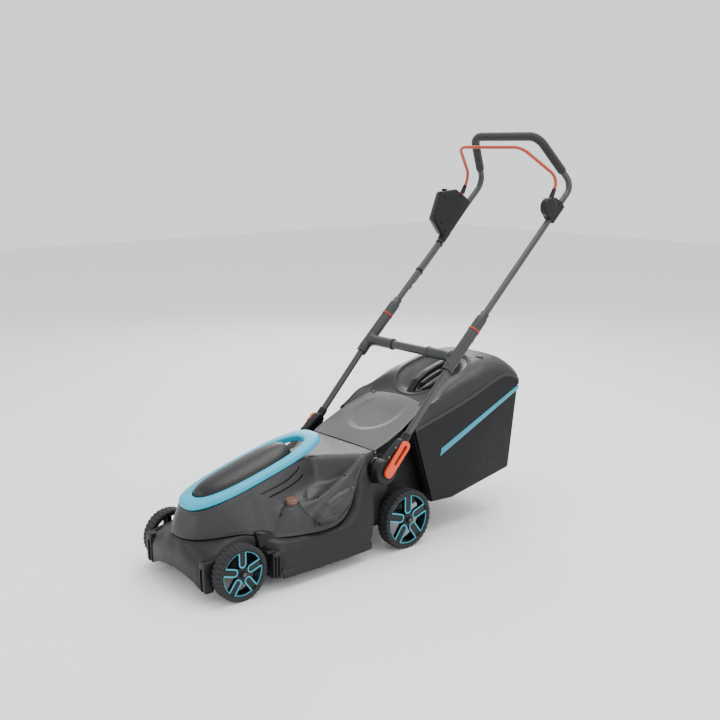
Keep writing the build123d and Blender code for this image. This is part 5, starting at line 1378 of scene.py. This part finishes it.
def window(R, h, c, hub, k):
    """Outline of the opening between finger k and the next one."""
    base = math.radians(90 + 72 * k)
    a0 = math.asin(h / R)
    one = []
    for t in np.linspace(180, 90, 24):
        p = (c + h * math.cos(math.radians(t)), h * math.sin(math.radians(t)))
        if math.hypot(*p) > hub:
            one.append(p)
    x_out = math.sqrt(R * R - h * h)
    one.append((x_out - 2.5, h))
    for t in np.linspace(0.2, 1, 5):
        p0, p1, p2 = (x_out - 2.5, h), (x_out, h), (R * math.cos(a0 + 0.045), R * math.sin(a0 + 0.045))
        one.append(((1 - t) ** 2 * p0[0] + 2 * t * (1 - t) * p1[0] + t * t * p2[0], (1 - t) ** 2 * p0[1] + 2 * t * (1 - t) * p1[1] + t * t * p2[1]))
    for t in np.linspace(a0 + 0.06, math.radians(36), 12):
        one.append((R * math.cos(t), R * math.sin(t)))
    m = math.radians(36)
    # mirror about the 36 degree line
    two = []
    for px, py in one[-2::-1]:
        rr, aa = math.hypot(px, py), math.atan2(py, px)
        aa = 2 * m - aa
        two.append((rr * math.cos(aa), rr * math.sin(aa)))
    pts = one + two
    # rounded inner corner on the hub circle
    a1, a2 = math.atan2(pts[-1][1], pts[-1][0]), math.atan2(pts[0][1], pts[0][0])
    for t in np.linspace(a1, a2, 8)[1:-1]:
        pts.append((hub * math.cos(t), hub * math.sin(t)))
    return [(px * math.cos(base) - py * math.sin(base), px * math.sin(base) + py * math.cos(base)) for px, py in pts]


def build_wheel(corner, side, y, R, face, width, trim_r, finger, tip):
    body = "wheel_" + corner
    inner = face - width
    hub_x = side

    def place(x, a, b):
        return (side * x, y + side * a, R + b)
    # tyre: smooth walls, rounded shoulders, blocks with cross grooves on the tread
    tin = trim_r + 0.4
    prof = [(inner + 2.0, tin), (inner + 0.6, tin + 2.2), (inner, tin + 5), (inner, R - 5.5), (inner + 0.5, R - 2.6), (inner + 2.4, R - 0.6),
            (inner + 4.0, R), (inner + 8, R), (inner + 12, R), (inner + 13.6, R), (inner + 15, R), (inner + width * 0.5 - 1.0, R), (inner + width * 0.5, R - 0.9), (inner + width * 0.5 + 1.0, R),
            (face - 15, R), (face - 13.6, R), (face - 12, R), (face - 8, R), (face - 4.0, R), (face - 2.2, R - 0.7), (face - 0.6, R - 2.8), (face, R - 5.4),
            (face + 0.0, tin + 6.5), (face - 0.5, tin + 3.4), (face - 1.5, tin + 1.4), (face - 3.0, tin)]
    blocks, per = 36, 12
    n = blocks * per
    V = []
    for i in range(n):
        a = 2 * math.pi * i / n
        ph = (i % per) / per
        for x, r in prof:
            cut = 0.0
            if r > R - 3.5:
                u = (x - inner) / width
                shift = 0.0 if u < 0.5 else 0.5
                q = abs(((ph + shift) % 1.0) - 0.5) * 2
                reach = 1.0 if (u < 0.34 or u > 0.66) else 0.35
                cut = 2.4 * reach * float(sstep(0.62, 0.80, q))
            V.append(place(x, (r - cut) * math.cos(a), (r - cut) * math.sin(a)))
    tyre = clean(mesh("tyre_tread_" + corner, V, quads(n, len(prof), wrap_u=True, wrap_v=True)), angle=40)
    done(tyre, M_TYRE, body, "tyre_" + corner)

    # rim: barrel, web with five broad fingers and windows between them, hub
    web_in, web_out = face - 12.0, face - 5.0
    Rw = trim_r - 4.2
    c = tip + finger
    web = lathe("web", (side * web_in, y, R), (side, 0, 0), [(0, 0.0), (0, tin), (web_out - web_in, tin), (web_out - web_in, 0.0)], 160)
    cuts = []
    for k in range(5):
        w = window(Rw, finger, c, tip + 3.2, k)
        cuts.append(prism("w", [(y + side * a, R + b) for a, b in w], side * (web_in - 4), side * (web_out + 4)))
    boolean(web, cuts, angle=35)
    rounded(web, 0.7, 2, angle=50)
    barrel = lathe("barrel", (side * (inner + 3), y, R), (side, 0, 0), [(0, tin), (0, tin - 3.4), (width - 12, tin - 3.4), (width - 8, tin - 3.4), (width - 5.4, tin - 2.4), (width - 4.6, tin), (0, tin)], 160)
    hub = lathe("hub", (side * (inner + 1.5), y, R), (side, 0, 0), [(0, 6.2), (0, 13), (1, 14), (width - 8.5, 14), (width - 5.2, 13.4), (width - 3.4, 12.0), (width - 2.8, 10.6), (width - 2.8, 9.9), (width - 5.0, 9.9), (width - 5.0, 6.2), (0, 6.2)], 72)
    spokes = []
    for k in range(5):
        a = math.radians(90 + 72 * k)
        d = (math.cos(a), math.sin(a))
        nrm = (-d[1], d[0])
        for off in (-finger * 0.55, finger * 0.55):
            q = [(12, off - 1.1), (tin - 2, off - 1.1), (tin - 2, off + 1.1), (12, off + 1.1)]
            spokes.append(prism("sp", [(y + side * (d[0] * s_ + nrm[0] * t_), R + d[1] * s_ + nrm[1] * t_) for s_, t_ in q], side * (web_in - 9), side * (web_in + 0.5)))
    rim = join("rim_web_" + corner, [web, barrel, hub] + spokes)
    rim.data.set_sharp_from_angle(angle=math.radians(35))
    done(rim, M_RIM, body, "rim_" + corner)
    line = wheel_path(Rw + 1.9, finger - 1.9, c)
    tr = ribbon("trim_line_" + corner, line, 1.9, web_out - 1.2, web_out + 1.5, place)
    done(tr, M_TEAL, body, "trim_" + corner)


for side, name in ((1, "left"), (-1, "right")):
    build_wheel("front_" + name, side, -282.5, 75.0, 193.8, 38.0, 61.3, 11.5, 15.5)
    build_wheel("rear_" + name, side, 282.5, 87.0, 207.4, 42.0, 73.5, 13.5, 17.5)
for node, body, y, R, face in (("front_axle_caps", "front_axle_body", -282.5, 75.0, 193.8), ("rear_axle_caps", "rear_axle_body", 282.5, 87.0, 207.4)):
    caps = []
    for side in (1, -1):
        caps.append(lathe("cap", (side * (face - 2.4), y, R), (side, 0, 0), [(0, 6.3), (0, 9.3), (6.8, 9.3), (8.2, 8.6), (8.8, 7.2), (8.9, 6.6), (8.0, 6.0), (7.6, 4.5), (7.6, 0.0), (6.2, 0.0), (6.2, 6.3), (0, 6.3)], 48))
    cp = join(node.replace("caps", "cap_pair"), caps)
    clean(cp, angle=30)
    done(cp, M_BLACK, body, node)
    cen = []
    for side in (1, -1):
        cen.append(lathe("cc", (side * (face + 5.0), y, R), (side, 0, 0), [(0, 0.0), (0, 5.6), (0.8, 5.6), (1.4, 4.8), (1.6, 0.0)], 40))
    cn = join(node.replace("caps", "cap_centres"), cen)
    clean(cn, angle=30)
    done(cn, M_HUBC, body)


# ------------------------------------------------------------------ handle, lower part
def yz(fn, s, x):
    a = fn(s)
    return (x, a[0], a[1])


low_end = math.hypot(BEND[0] - PIVOT[0], BEND[1] - PIVOT[1])
tubes = []
for side in (1, -1):
    L = low_end - 4 - 50
    tubes.append(straight("lt", yz(on_lower, 50, side * TX), yz(on_lower, 100, side * TX), [(0, 8.5), (0, 10), (L, 10), (L, 8.5), (0, 8.5)], 48))
lt = join("lower_tube_pair", tubes)
clean(lt, angle=35)
done(lt, M_TUBE, "lower_handle", "lower_tubes")

socks = []
for side in (1, -1):
    drum = lathe("drum", (side * 170, PIVOT[0], PIVOT[1]), (side, 0, 0), [(0, 0.0), (0, 35.0), (1.6, 36.8), (28.0, 37.0), (31.0, 36.2), (33.0, 34.0), (33.5, 31.0), (33.5, 0.0)], 96)
    n = (-LOW[1], LOW[0])
    quad = []
    for s, h in ((0, 31), (40, 27), (78, 21), (104, 14.5)):
        c = on_lower(s)
        quad.append((c, h))
    out = [(c[0] + n[0] * h, c[1] + n[1] * h) for c, h in quad] + [(c[0] - n[0] * h, c[1] - n[1] * h) for c, h in quad[::-1]]
    arm = prism("arm", out, side * 177.5, side * 202.5, bevel=5.0, seg=3)
    sleeve = straight("sl", yz(on_lower, 60, side * TX), yz(on_lower, 120, side * TX), [(0, 0.0), (0, 13), (64, 13), (68, 12.4), (69, 11.4), (69, 0.0)], 56)
    socks.append(join("s", [drum, arm, sleeve]))
sk = join("pivot_sockets", socks)
voxel(sk, 1.7, 3)
sk.data.set_sharp_from_angle(angle=math.radians(50))
done(sk, M_BLACK, "lower_handle", "handle_sockets")
rings_, tips = [], []
for side in (1, -1):
    rings_.append(lathe("dr", (side * 203.0, PIVOT[0], PIVOT[1]), (side, 0, 0), [(0, 17.2), (0, 19.6), (1.6, 19.6), (2.2, 19.0), (2.2, 17.6), (1.6, 17.2), (0, 17.2)], 80))
    for ss_, nn_ in ((70, 20.5), (36, 23.5)):
        q = (on_lower(ss_)[0] - LOW[1] * nn_, on_lower(ss_)[1] + LOW[0] * nn_)
        tips.append(lathe("tip", (side * 200.5, q[0], q[1]), (side, 0, 0), [(0, 0.0), (0, 3.4), (2.6, 3.4), (3.6, 2.6), (3.6, 1.4), (2.4, 1.0), (2.4, 0.0)], 28))
rg = join("socket_bands", rings_)
clean(rg, angle=35)
done(rg, M_GLOSS, "lower_handle")
tp = join("socket_screws", tips)
clean(tp, angle=30)
done(tp, M_ZINC, "lower_handle")

n_low = (-LOW[1], LOW[0])
for side, name in ((1, "left"), (-1, "right")):
    def lp(a, b):
        return (PIVOT[0] + LOW[0] * a + n_low[0] * b, PIVOT[1] + LOW[1] * a + n_low[1] * b)

    def capsule(a0, a1, r0, r1, n=18):
        pts = []
        for t in np.linspace(90, 270, n):
            pts.append(lp(a0 + r0 * math.cos(math.radians(t)), r0 * math.sin(math.radians(t))))
        for t in np.linspace(270, 450, n):
            pts.append(lp(a1 + r1 * math.cos(math.radians(t)), r1 * math.sin(math.radians(t))))
        return pts
    lev = prism("lever_" + name, capsule(0, 90, 14.6, 15.4), side * 204.9, side * 213.2)
    cut = prism("c", capsule(32, 87, 5.0, 6.6), side * 200, side * 220)
    boolean(lev, [cut], angle=35)
    rounded(lev, 2.6, 4, angle=50)
    done(lev, M_ORANGE, "lever_" + name, "lock_lever_" + name)
    # dark red plate closing the slot floor: painted shade inside the slot
    pad = prism("lever_slot_" + name, capsule(32, 87, 5.6, 7.2), side * 205.4, side * 207.2)
    done(pad, M_SLOT_SHADE, "lever_" + name)

# ------------------------------------------------------------------ connectors and crossbar
CROSS_S = (478.0 - BEND[0]) / UP[0]
SLEEVE_S = (552.0 - BEND[0]) / UP[0]
CROSS = on_upper(CROSS_S)
conn = []
for side in (1, -1):
    a = straight("c1", yz(on_upper, 0, side * TX), yz(on_upper, 10, side * TX), [(-2, 0.0), (-2, 16.6), (0, 17), (SLEEVE_S - 1.0, 17), (SLEEVE_S - 0.2, 16.4), (SLEEVE_S - 0.2, 0.0)], 72)
    b = straight("c2", yz(on_lower, low_end - 12, side * TX), yz(on_lower, low_end, side * TX), [(0, 0.0), (0, 15.4), (1.2, 16.4), (14, 17.0), (22, 17.0), (22, 0.0)], 72)
    c = lathe("c3", (side * (TX), CROSS[0], CROSS[1]), (-side, 0, 0), [(0, 0.0), (0, 16.5), (TX - 77, 16.5), (TX - 76, 15.6), (TX - 76, 0.0)], 72)
    d = lathe("c4", (side * (TX - 13), CROSS[0], CROSS[1]), (-side, 0, 0), [(0, 0.0), (0, 20.5), (4, 19.8), (9, 18.0), (16, 16.6), (16, 0.0)], 72)
    o = join("t", [a, b, c, d])
    voxel(o, 1.5, 7)
    conn.append(o)
    conn.append(lathe("lip", (side * 83, CROSS[0], CROSS[1]), (-side, 0, 0), [(0, 15.5), (0, 17.3), (1, 17.9), (6, 17.9), (7, 17.3), (7, 13.4), (0, 13.4), (0, 15.5)], 72))
    conn.append(straight("lip2", yz(on_lower, low_end - 13.8, side * TX), yz(on_lower, low_end, side * TX), [(0, 9.9), (0, 16.2), (0.9, 17.2), (4.0, 17.2), (5.0, 16.2), (5.0, 9.9), (0, 9.9)], 72))
    # tab under the sleeve
    t0 = on_lower(low_end - 16)
    conn.append(prism("tab", [(t0[0] + 8, t0[1] - 13), (t0[0] + 26, t0[1] - 2), (t0[0] + 22, t0[1] + 6), (t0[0] + 2, t0[1] - 6)], side * TX - 6, side * TX + 6, bevel=1.6))
co = join("handle_connectors", conn)
co.data.set_sharp_from_angle(angle=math.radians(48))
done(co, M_CONN, "lower_handle", "tube_connectors")
dots = []
for side in (1, -1):
    for s, dx in ((16, 0.55), (SLEEVE_S * 0.78, 0.8)):
        c = on_upper(s)
        nx = dx
        nn = math.sqrt(1 - nx * nx)
        dirv = (side * nx, -UP[1] * 0 + nn * UP[1], -nn * UP[0])
        p0 = (side * TX + dirv[0] * 15.2, c[0] + dirv[1] * 15.2, c[1] + dirv[2] * 15.2)
        dots.append(lathe("d", p0, dirv, [(0, 0.0), (0, 3.2), (2.6, 3.2), (3.0, 2.6), (2.2, 1.4), (2.2, 0.0)], 24))
dt = join("connector_screws", dots)
clean(dt, angle=30)
done(dt, M_ZINC, "lower_handle")

rings_ = []
for side in (1, -1):
    rings_.append(straight("or", yz(on_upper, SLEEVE_S, side * TX), yz(on_upper, SLEEVE_S + 10, side * TX),
                  [(-0.6, 16.2), (-0.6, 17.9), (-0.1, 18.5), (0.9, 18.5), (1.2, 17.7), (1.7, 17.7), (2.0, 18.5), (3.2, 18.5), (3.7, 17.9), (3.7, 10.4), (-0.6, 10.4), (-0.6, 16.2)], 80))
rg = join("twist_rings", rings_)
clean(rg, angle=35)
done(rg, M_RINGO, "lower_handle", "connector_rings")

for side, name in ((1, "left"), (-1, "right")):
    s0 = SLEEVE_S + 4.2
    base = yz(on_upper, s0, side * TX)
    tip_ = yz(on_upper, s0 + 10, side * TX)
    prof = [(0, 10.5), (0, 16.4), (0.8, 17.0), (30, 17.0), (44, 16.6), (47, 16.0), (48.5, 14.6), (50, 14.0), (62, 13.6), (65, 13.0), (66, 12.0), (66, 10.5), (0, 10.5)]
    col_ = straight("collar_" + name, base, tip_, prof, 120, angle=30)
    # shallow grip flutes on the wide part
    d = Vector((0, UP[0], UP[1]))
    flute = []
    for k in range(14):
        a = 2 * math.pi * k / 14
        u = Vector((1, 0, 0))
        w = d.cross(u)
        rdir = u * math.cos(a) + w * math.sin(a)
        c0 = Vector(base) + rdir * 18.5 + d * 6
        flute.append(lathe("f", tuple(c0), tuple(d), [(0, 0.0), (0, 2.2), (34, 2.2), (34, 0.0)], 14))
    boolean(col_, flute, angle=30)
    done(col_, M_CONN, "collar_" + name, "twist_collar_" + name)

# ------------------------------------------------------------------ upper handle
TUBE_END_S = SLEEVE_S - 85
C1 = (TX, 991.0, BEND[1] + (991.0 - BEND[0]) * UP[1] / UP[0])
C2 = (134.0, 884.0, 1172.0)
pts = [yz(on_upper, TUBE_END_S, TX), C1, C2, (-C2[0], C2[1], C2[2]), (-C1[0], C1[1], C1[2]), yz(on_upper, TUBE_END_S, -TX)]
ut = sweep("upper_tube_bow", resample(fillet_path(pts, [40, 45, 45, 40]), 5.0)[0], 10.0, seg=40, bore=8.8)
done(ut, M_TUBE, "upper_handle", "upper_tube")
g0 = tuple(C1[k] + (C2[k] - C1[k]) * 0.27 for k in range(3))
gp, gt = resample(fillet_path([g0, C2, (-C2[0], C2[1], C2[2]), (-g0[0], g0[1], g0[2])], [45, 45]), 3.0)
ng = len(gp)


def foam_r(i, a):
    e = min(i, ng - 1 - i)
    r = 13.8 - (2.6 if e == 0 else 0.9 if e == 1 else 0.25 if e == 2 else 0.0)
    return r + 0.12 * math.sin(i * 0.9) * math.cos(3 * a)


gr = sweep("foam_grip_sleeve", gp, 1.0, seg=44, radius_fn=foam_r)
done(gr, M_FOAM, "upper_handle", "foam_grip")

bp = fillet_path([(190, 876, 960), (190, 922, 1045), (131, 812, 1139), (-131, 812, 1139), (-190, 922, 1045), (-190, 876, 960)], [40, 42, 42, 40], step=2.0)
bl = sweep("bail_wire", resample(bp, 4.0)[0], 5.1, seg=24)
eyes = [lathe("e", (s_ * 185.2, 876, 960), (s_, 0, 0), [(0, 4.2), (0, 7.4), (0.8, 8.0), (8.8, 8.0), (9.6, 7.4), (9.6, 4.2), (0, 4.2)], 40) for s_ in (1, -1)]
bl = join("bail_wire", [bl] + eyes)
clean(bl, angle=40)
done(bl, M_BAIL, "bail", "switch_bail")
bd = Vector((0, 922 - 876, 1045 - 960)).normalized()
boots = []
for s_ in (1, -1):
    b0 = Vector((s_ * 190, 876, 960)) + bd * 30.5
    boots.append(straight("bt", tuple(b0), tuple(b0 + bd * 10),
                 [(0, 4.4), (0, 8.0), (3.0, 8.3), (5.0, 7.6), (6.5, 7.9), (9.5, 7.2), (11.0, 7.5), (14.5, 7.0), (16, 7.2), (24, 6.8), (27, 6.6), (29.5, 6.0), (29.5, 4.4), (0, 4.4)], 40, angle=50))
bt = join("bail_boot_pair", boots)
clean(bt, angle=50)
done(bt, M_BLACK, "bail", "bail_boots")

# housings
drum = lathe("dh", (180, 876, 958), (1, 0, 0), [(0, 0.0), (0, 24.5), (3.5, 29.0), (21.0, 29.0), (24.2, 27.0), (25.4, 23.5), (25.8, 0.0)], 96)
t0, t1 = on_upper((880 - BEND[0]) / UP[0]), on_upper((934 - BEND[0]) / UP[0])
nn = (-UP[1] * 15, UP[0] * 15)
blk = prism("cb", [(t0[0] + nn[0], t0[1] + nn[1]), (t1[0] + nn[0], t1[1] + nn[1]), (t1[0] - nn[0], t1[1] - nn[1]), (t0[0] - nn[0], t0[1] - nn[1])], 178, 204.5, bevel=4.0, seg=3)
m0, m1 = on_upper((878 - BEND[0]) / UP[0]), on_upper((930 - BEND[0]) / UP[0])
fillr = prism("fl", [(862, 934), (872, 986), (900, 987), (924, 974), (932, 958), (m1[0], m1[1]), (m0[0], m0[1])], 180, 203.5, bevel=3.0)
ph = join("bail_pivot_pod", [drum, blk, fillr])
voxel(ph, 1.5, 6)
chan = [prism("ch", [(867, 955), (874, 1012), (938, 1012), (938, 988), (887, 947)], 181, 199.2), lathe("chd", (181.5, 876, 960), (1, 0, 0), [(0, 0.0), (0, 11.5), (17.4, 11.5), (17.4, 0.0)], 40)]
boolean(ph, chan, angle=40)
done(ph, M_BLACK, "upper_handle", "bail_pivot_housing")

outline = [(778, 997), (850, 1002), (890, 979), (923, 955), (806, 836), (779, 856), (742, 905)]


def inset(poly, d):
    """Outline moved inward by d (mm)."""
    n = len(poly)
    area_ = sum(poly[i][0] * poly[(i + 1) % n][1] - poly[(i + 1) % n][0] * poly[i][1] for i in range(n))
    sg = 1 if area_ > 0 else -1
    out = []
    for i in range(n):
        p, a, b = Vector(poly[i]), Vector(poly[i - 1]), Vector(poly[(i + 1) % n])
        e1, e2 = (p - a).normalized(), (b - p).normalized()
        n1, n2 = Vector((-e1.y, e1.x)) * sg, Vector((-e2.y, e2.x)) * sg
        m_ = (n1 + n2)
        m_ = m_ / m_.length_squared * 2
        out.append(tuple(p + m_ * d))
    return out


def build_switch():
    layers = [(-209.0, 10.0), (-203.0, 5.0), (-193.0, 1.5), (-181.5, 0.0), (-176.5, 1.4), (-171.4, 6.5)]
    V = []
    n = len(outline)
    for x, d in layers:
        for y_, z_ in inset(outline, d):
            V.append((x, y_, z_))
    F = quads(len(layers), n, wrap_v=True)
    F.append(tuple(range(n))[::-1])
    F.append(tuple((len(layers) - 1) * n + k for k in range(n)))
    ob = clean(mesh("switch_case", V, F, smooth=False), angle=20)
    rounded(ob, 1.3, 3, angle=18)
    cuts = [prism("ch", [(868, 950), (878, 1015), (925, 1015), (890, 945)], -196, -184), lathe("chd", (-196, 876, 960), (1, 0, 0), [(0, 0.0), (0, 9.5), (12, 9.5), (12, 0.0)], 40),
            lathe("bt", (-TX, 806, 974), (0, 0, 1), [(0, 0.0), (0, 9.6), (40, 9.6), (40, 0.0)], 48)]
    for sy, sz in SWITCH_SCREWS:
        cuts.append(lathe("w", (-176.5, sy, sz), (1, 0, 0), [(0, 0.0), (0, 4.0), (9, 4.0), (9, 0.0)], 32))
    boolean(ob, cuts, angle=30)
    return ob


SWITCH_SCREWS = [(789.0, 978.0), (863.0, 979.0), (775.0, 894.0), (791.0, 867.0)]
sw = build_switch()
done(sw, M_BLACK, "upper_handle", "switch_housing")
ss = []
for sy, sz in SWITCH_SCREWS:
    ss.append(lathe("s", (-176.6, sy, sz), (1, 0, 0), [(0, 0.0), (0, 3.6), (2.2, 3.6), (2.9, 3.0), (2.9, 1.5), (1.6, 1.3), (1.6, 0.0)], 28))
ss = join("switch_screw_set", ss)
clean(ss, angle=30)
done(ss, M_DARK, "upper_handle", "switch_screws")
clampr = straight("switch_neck", yz(on_upper, (794 - BEND[0]) / UP[0], -TX), yz(on_upper, (820 - BEND[0]) / UP[0], -TX), [(0, 10.2), (0, 13.6), (1.5, 14.6), (36, 14.6), (36, 10.2), (0, 10.2)], 56)
done(clampr, M_BLACK, "upper_handle")

# handle cable and its clips
under = (UP[1], -UP[0])


def beside(s, off):
    y_, z_ = on_upper(s)
    return (-TX, y_ + under[0] * off, z_ + under[1] * off)


OFF = 10 + 2.75 + 0.6
cb = sweep("handle_cable_run", resample(fillet_path([beside(500, OFF), beside(292, OFF), beside(272, OFF - 6)], [24]), 4.0)[0], 2.75, seg=20)
done(cb, M_CABLE, "upper_handle", "handle_cable")
clips = []
for s_ in (330, 455):
    clips.append(straight("k", beside(s_, 0), beside(s_ + 8, 0), [(0, 10.0), (0, 11.8), (0.8, 12.4), (7.2, 12.4), (8, 11.8), (8, 10.0), (0, 10.0)], 56))
    clips.append(straight("k", beside(s_, OFF), beside(s_ + 8, OFF), [(0, 2.8), (0, 4.4), (0.7, 5.0), (7.3, 5.0), (8, 4.4), (8, 2.8), (0, 2.8)], 32))
clips.append(straight("k", beside(262, 9), beside(276, 9), [(0, 0.0), (0, 5.0), (1, 6.0), (12, 6.0), (14, 4.6), (14, 0.0)], 36))
ck = join("cable_clip_set", clips)
clean(ck, angle=35)
done(ck, M_BLACK, "upper_handle", "cable_clips")

# ------------------------------------------------------------------ CAD pieces that stay as they are
KEEP = {
    "crossbar": M_TUBE, "start_button": M_BLACK, "motor_housing": M_ALU, "motor_bearings": M_STEEL, "rotor_shaft": M_STEEL,
    "blade_carrier": M_BLACK, "blade": M_BLADE, "blade_bolt": M_STEEL, "battery_tray": M_BLACK, "battery_packs": M_PACK,
    "safety_key": M_RED, "hinge_pins": M_STEEL, "handle_brackets": M_GLOSS, "front_axle": M_STEEL, "rear_axle": M_STEEL,
    "height_link": M_STEEL, "pivot_bolts": M_STEEL,
}
for n_, m_ in KEEP.items():
    ob_ = frame["nodes"][n_]
    if not ob_.data.materials:
        ob_.data.materials.append(m_)
    for k_ in range(len(ob_.data.materials)):
        ob_.data.materials[k_] = m_
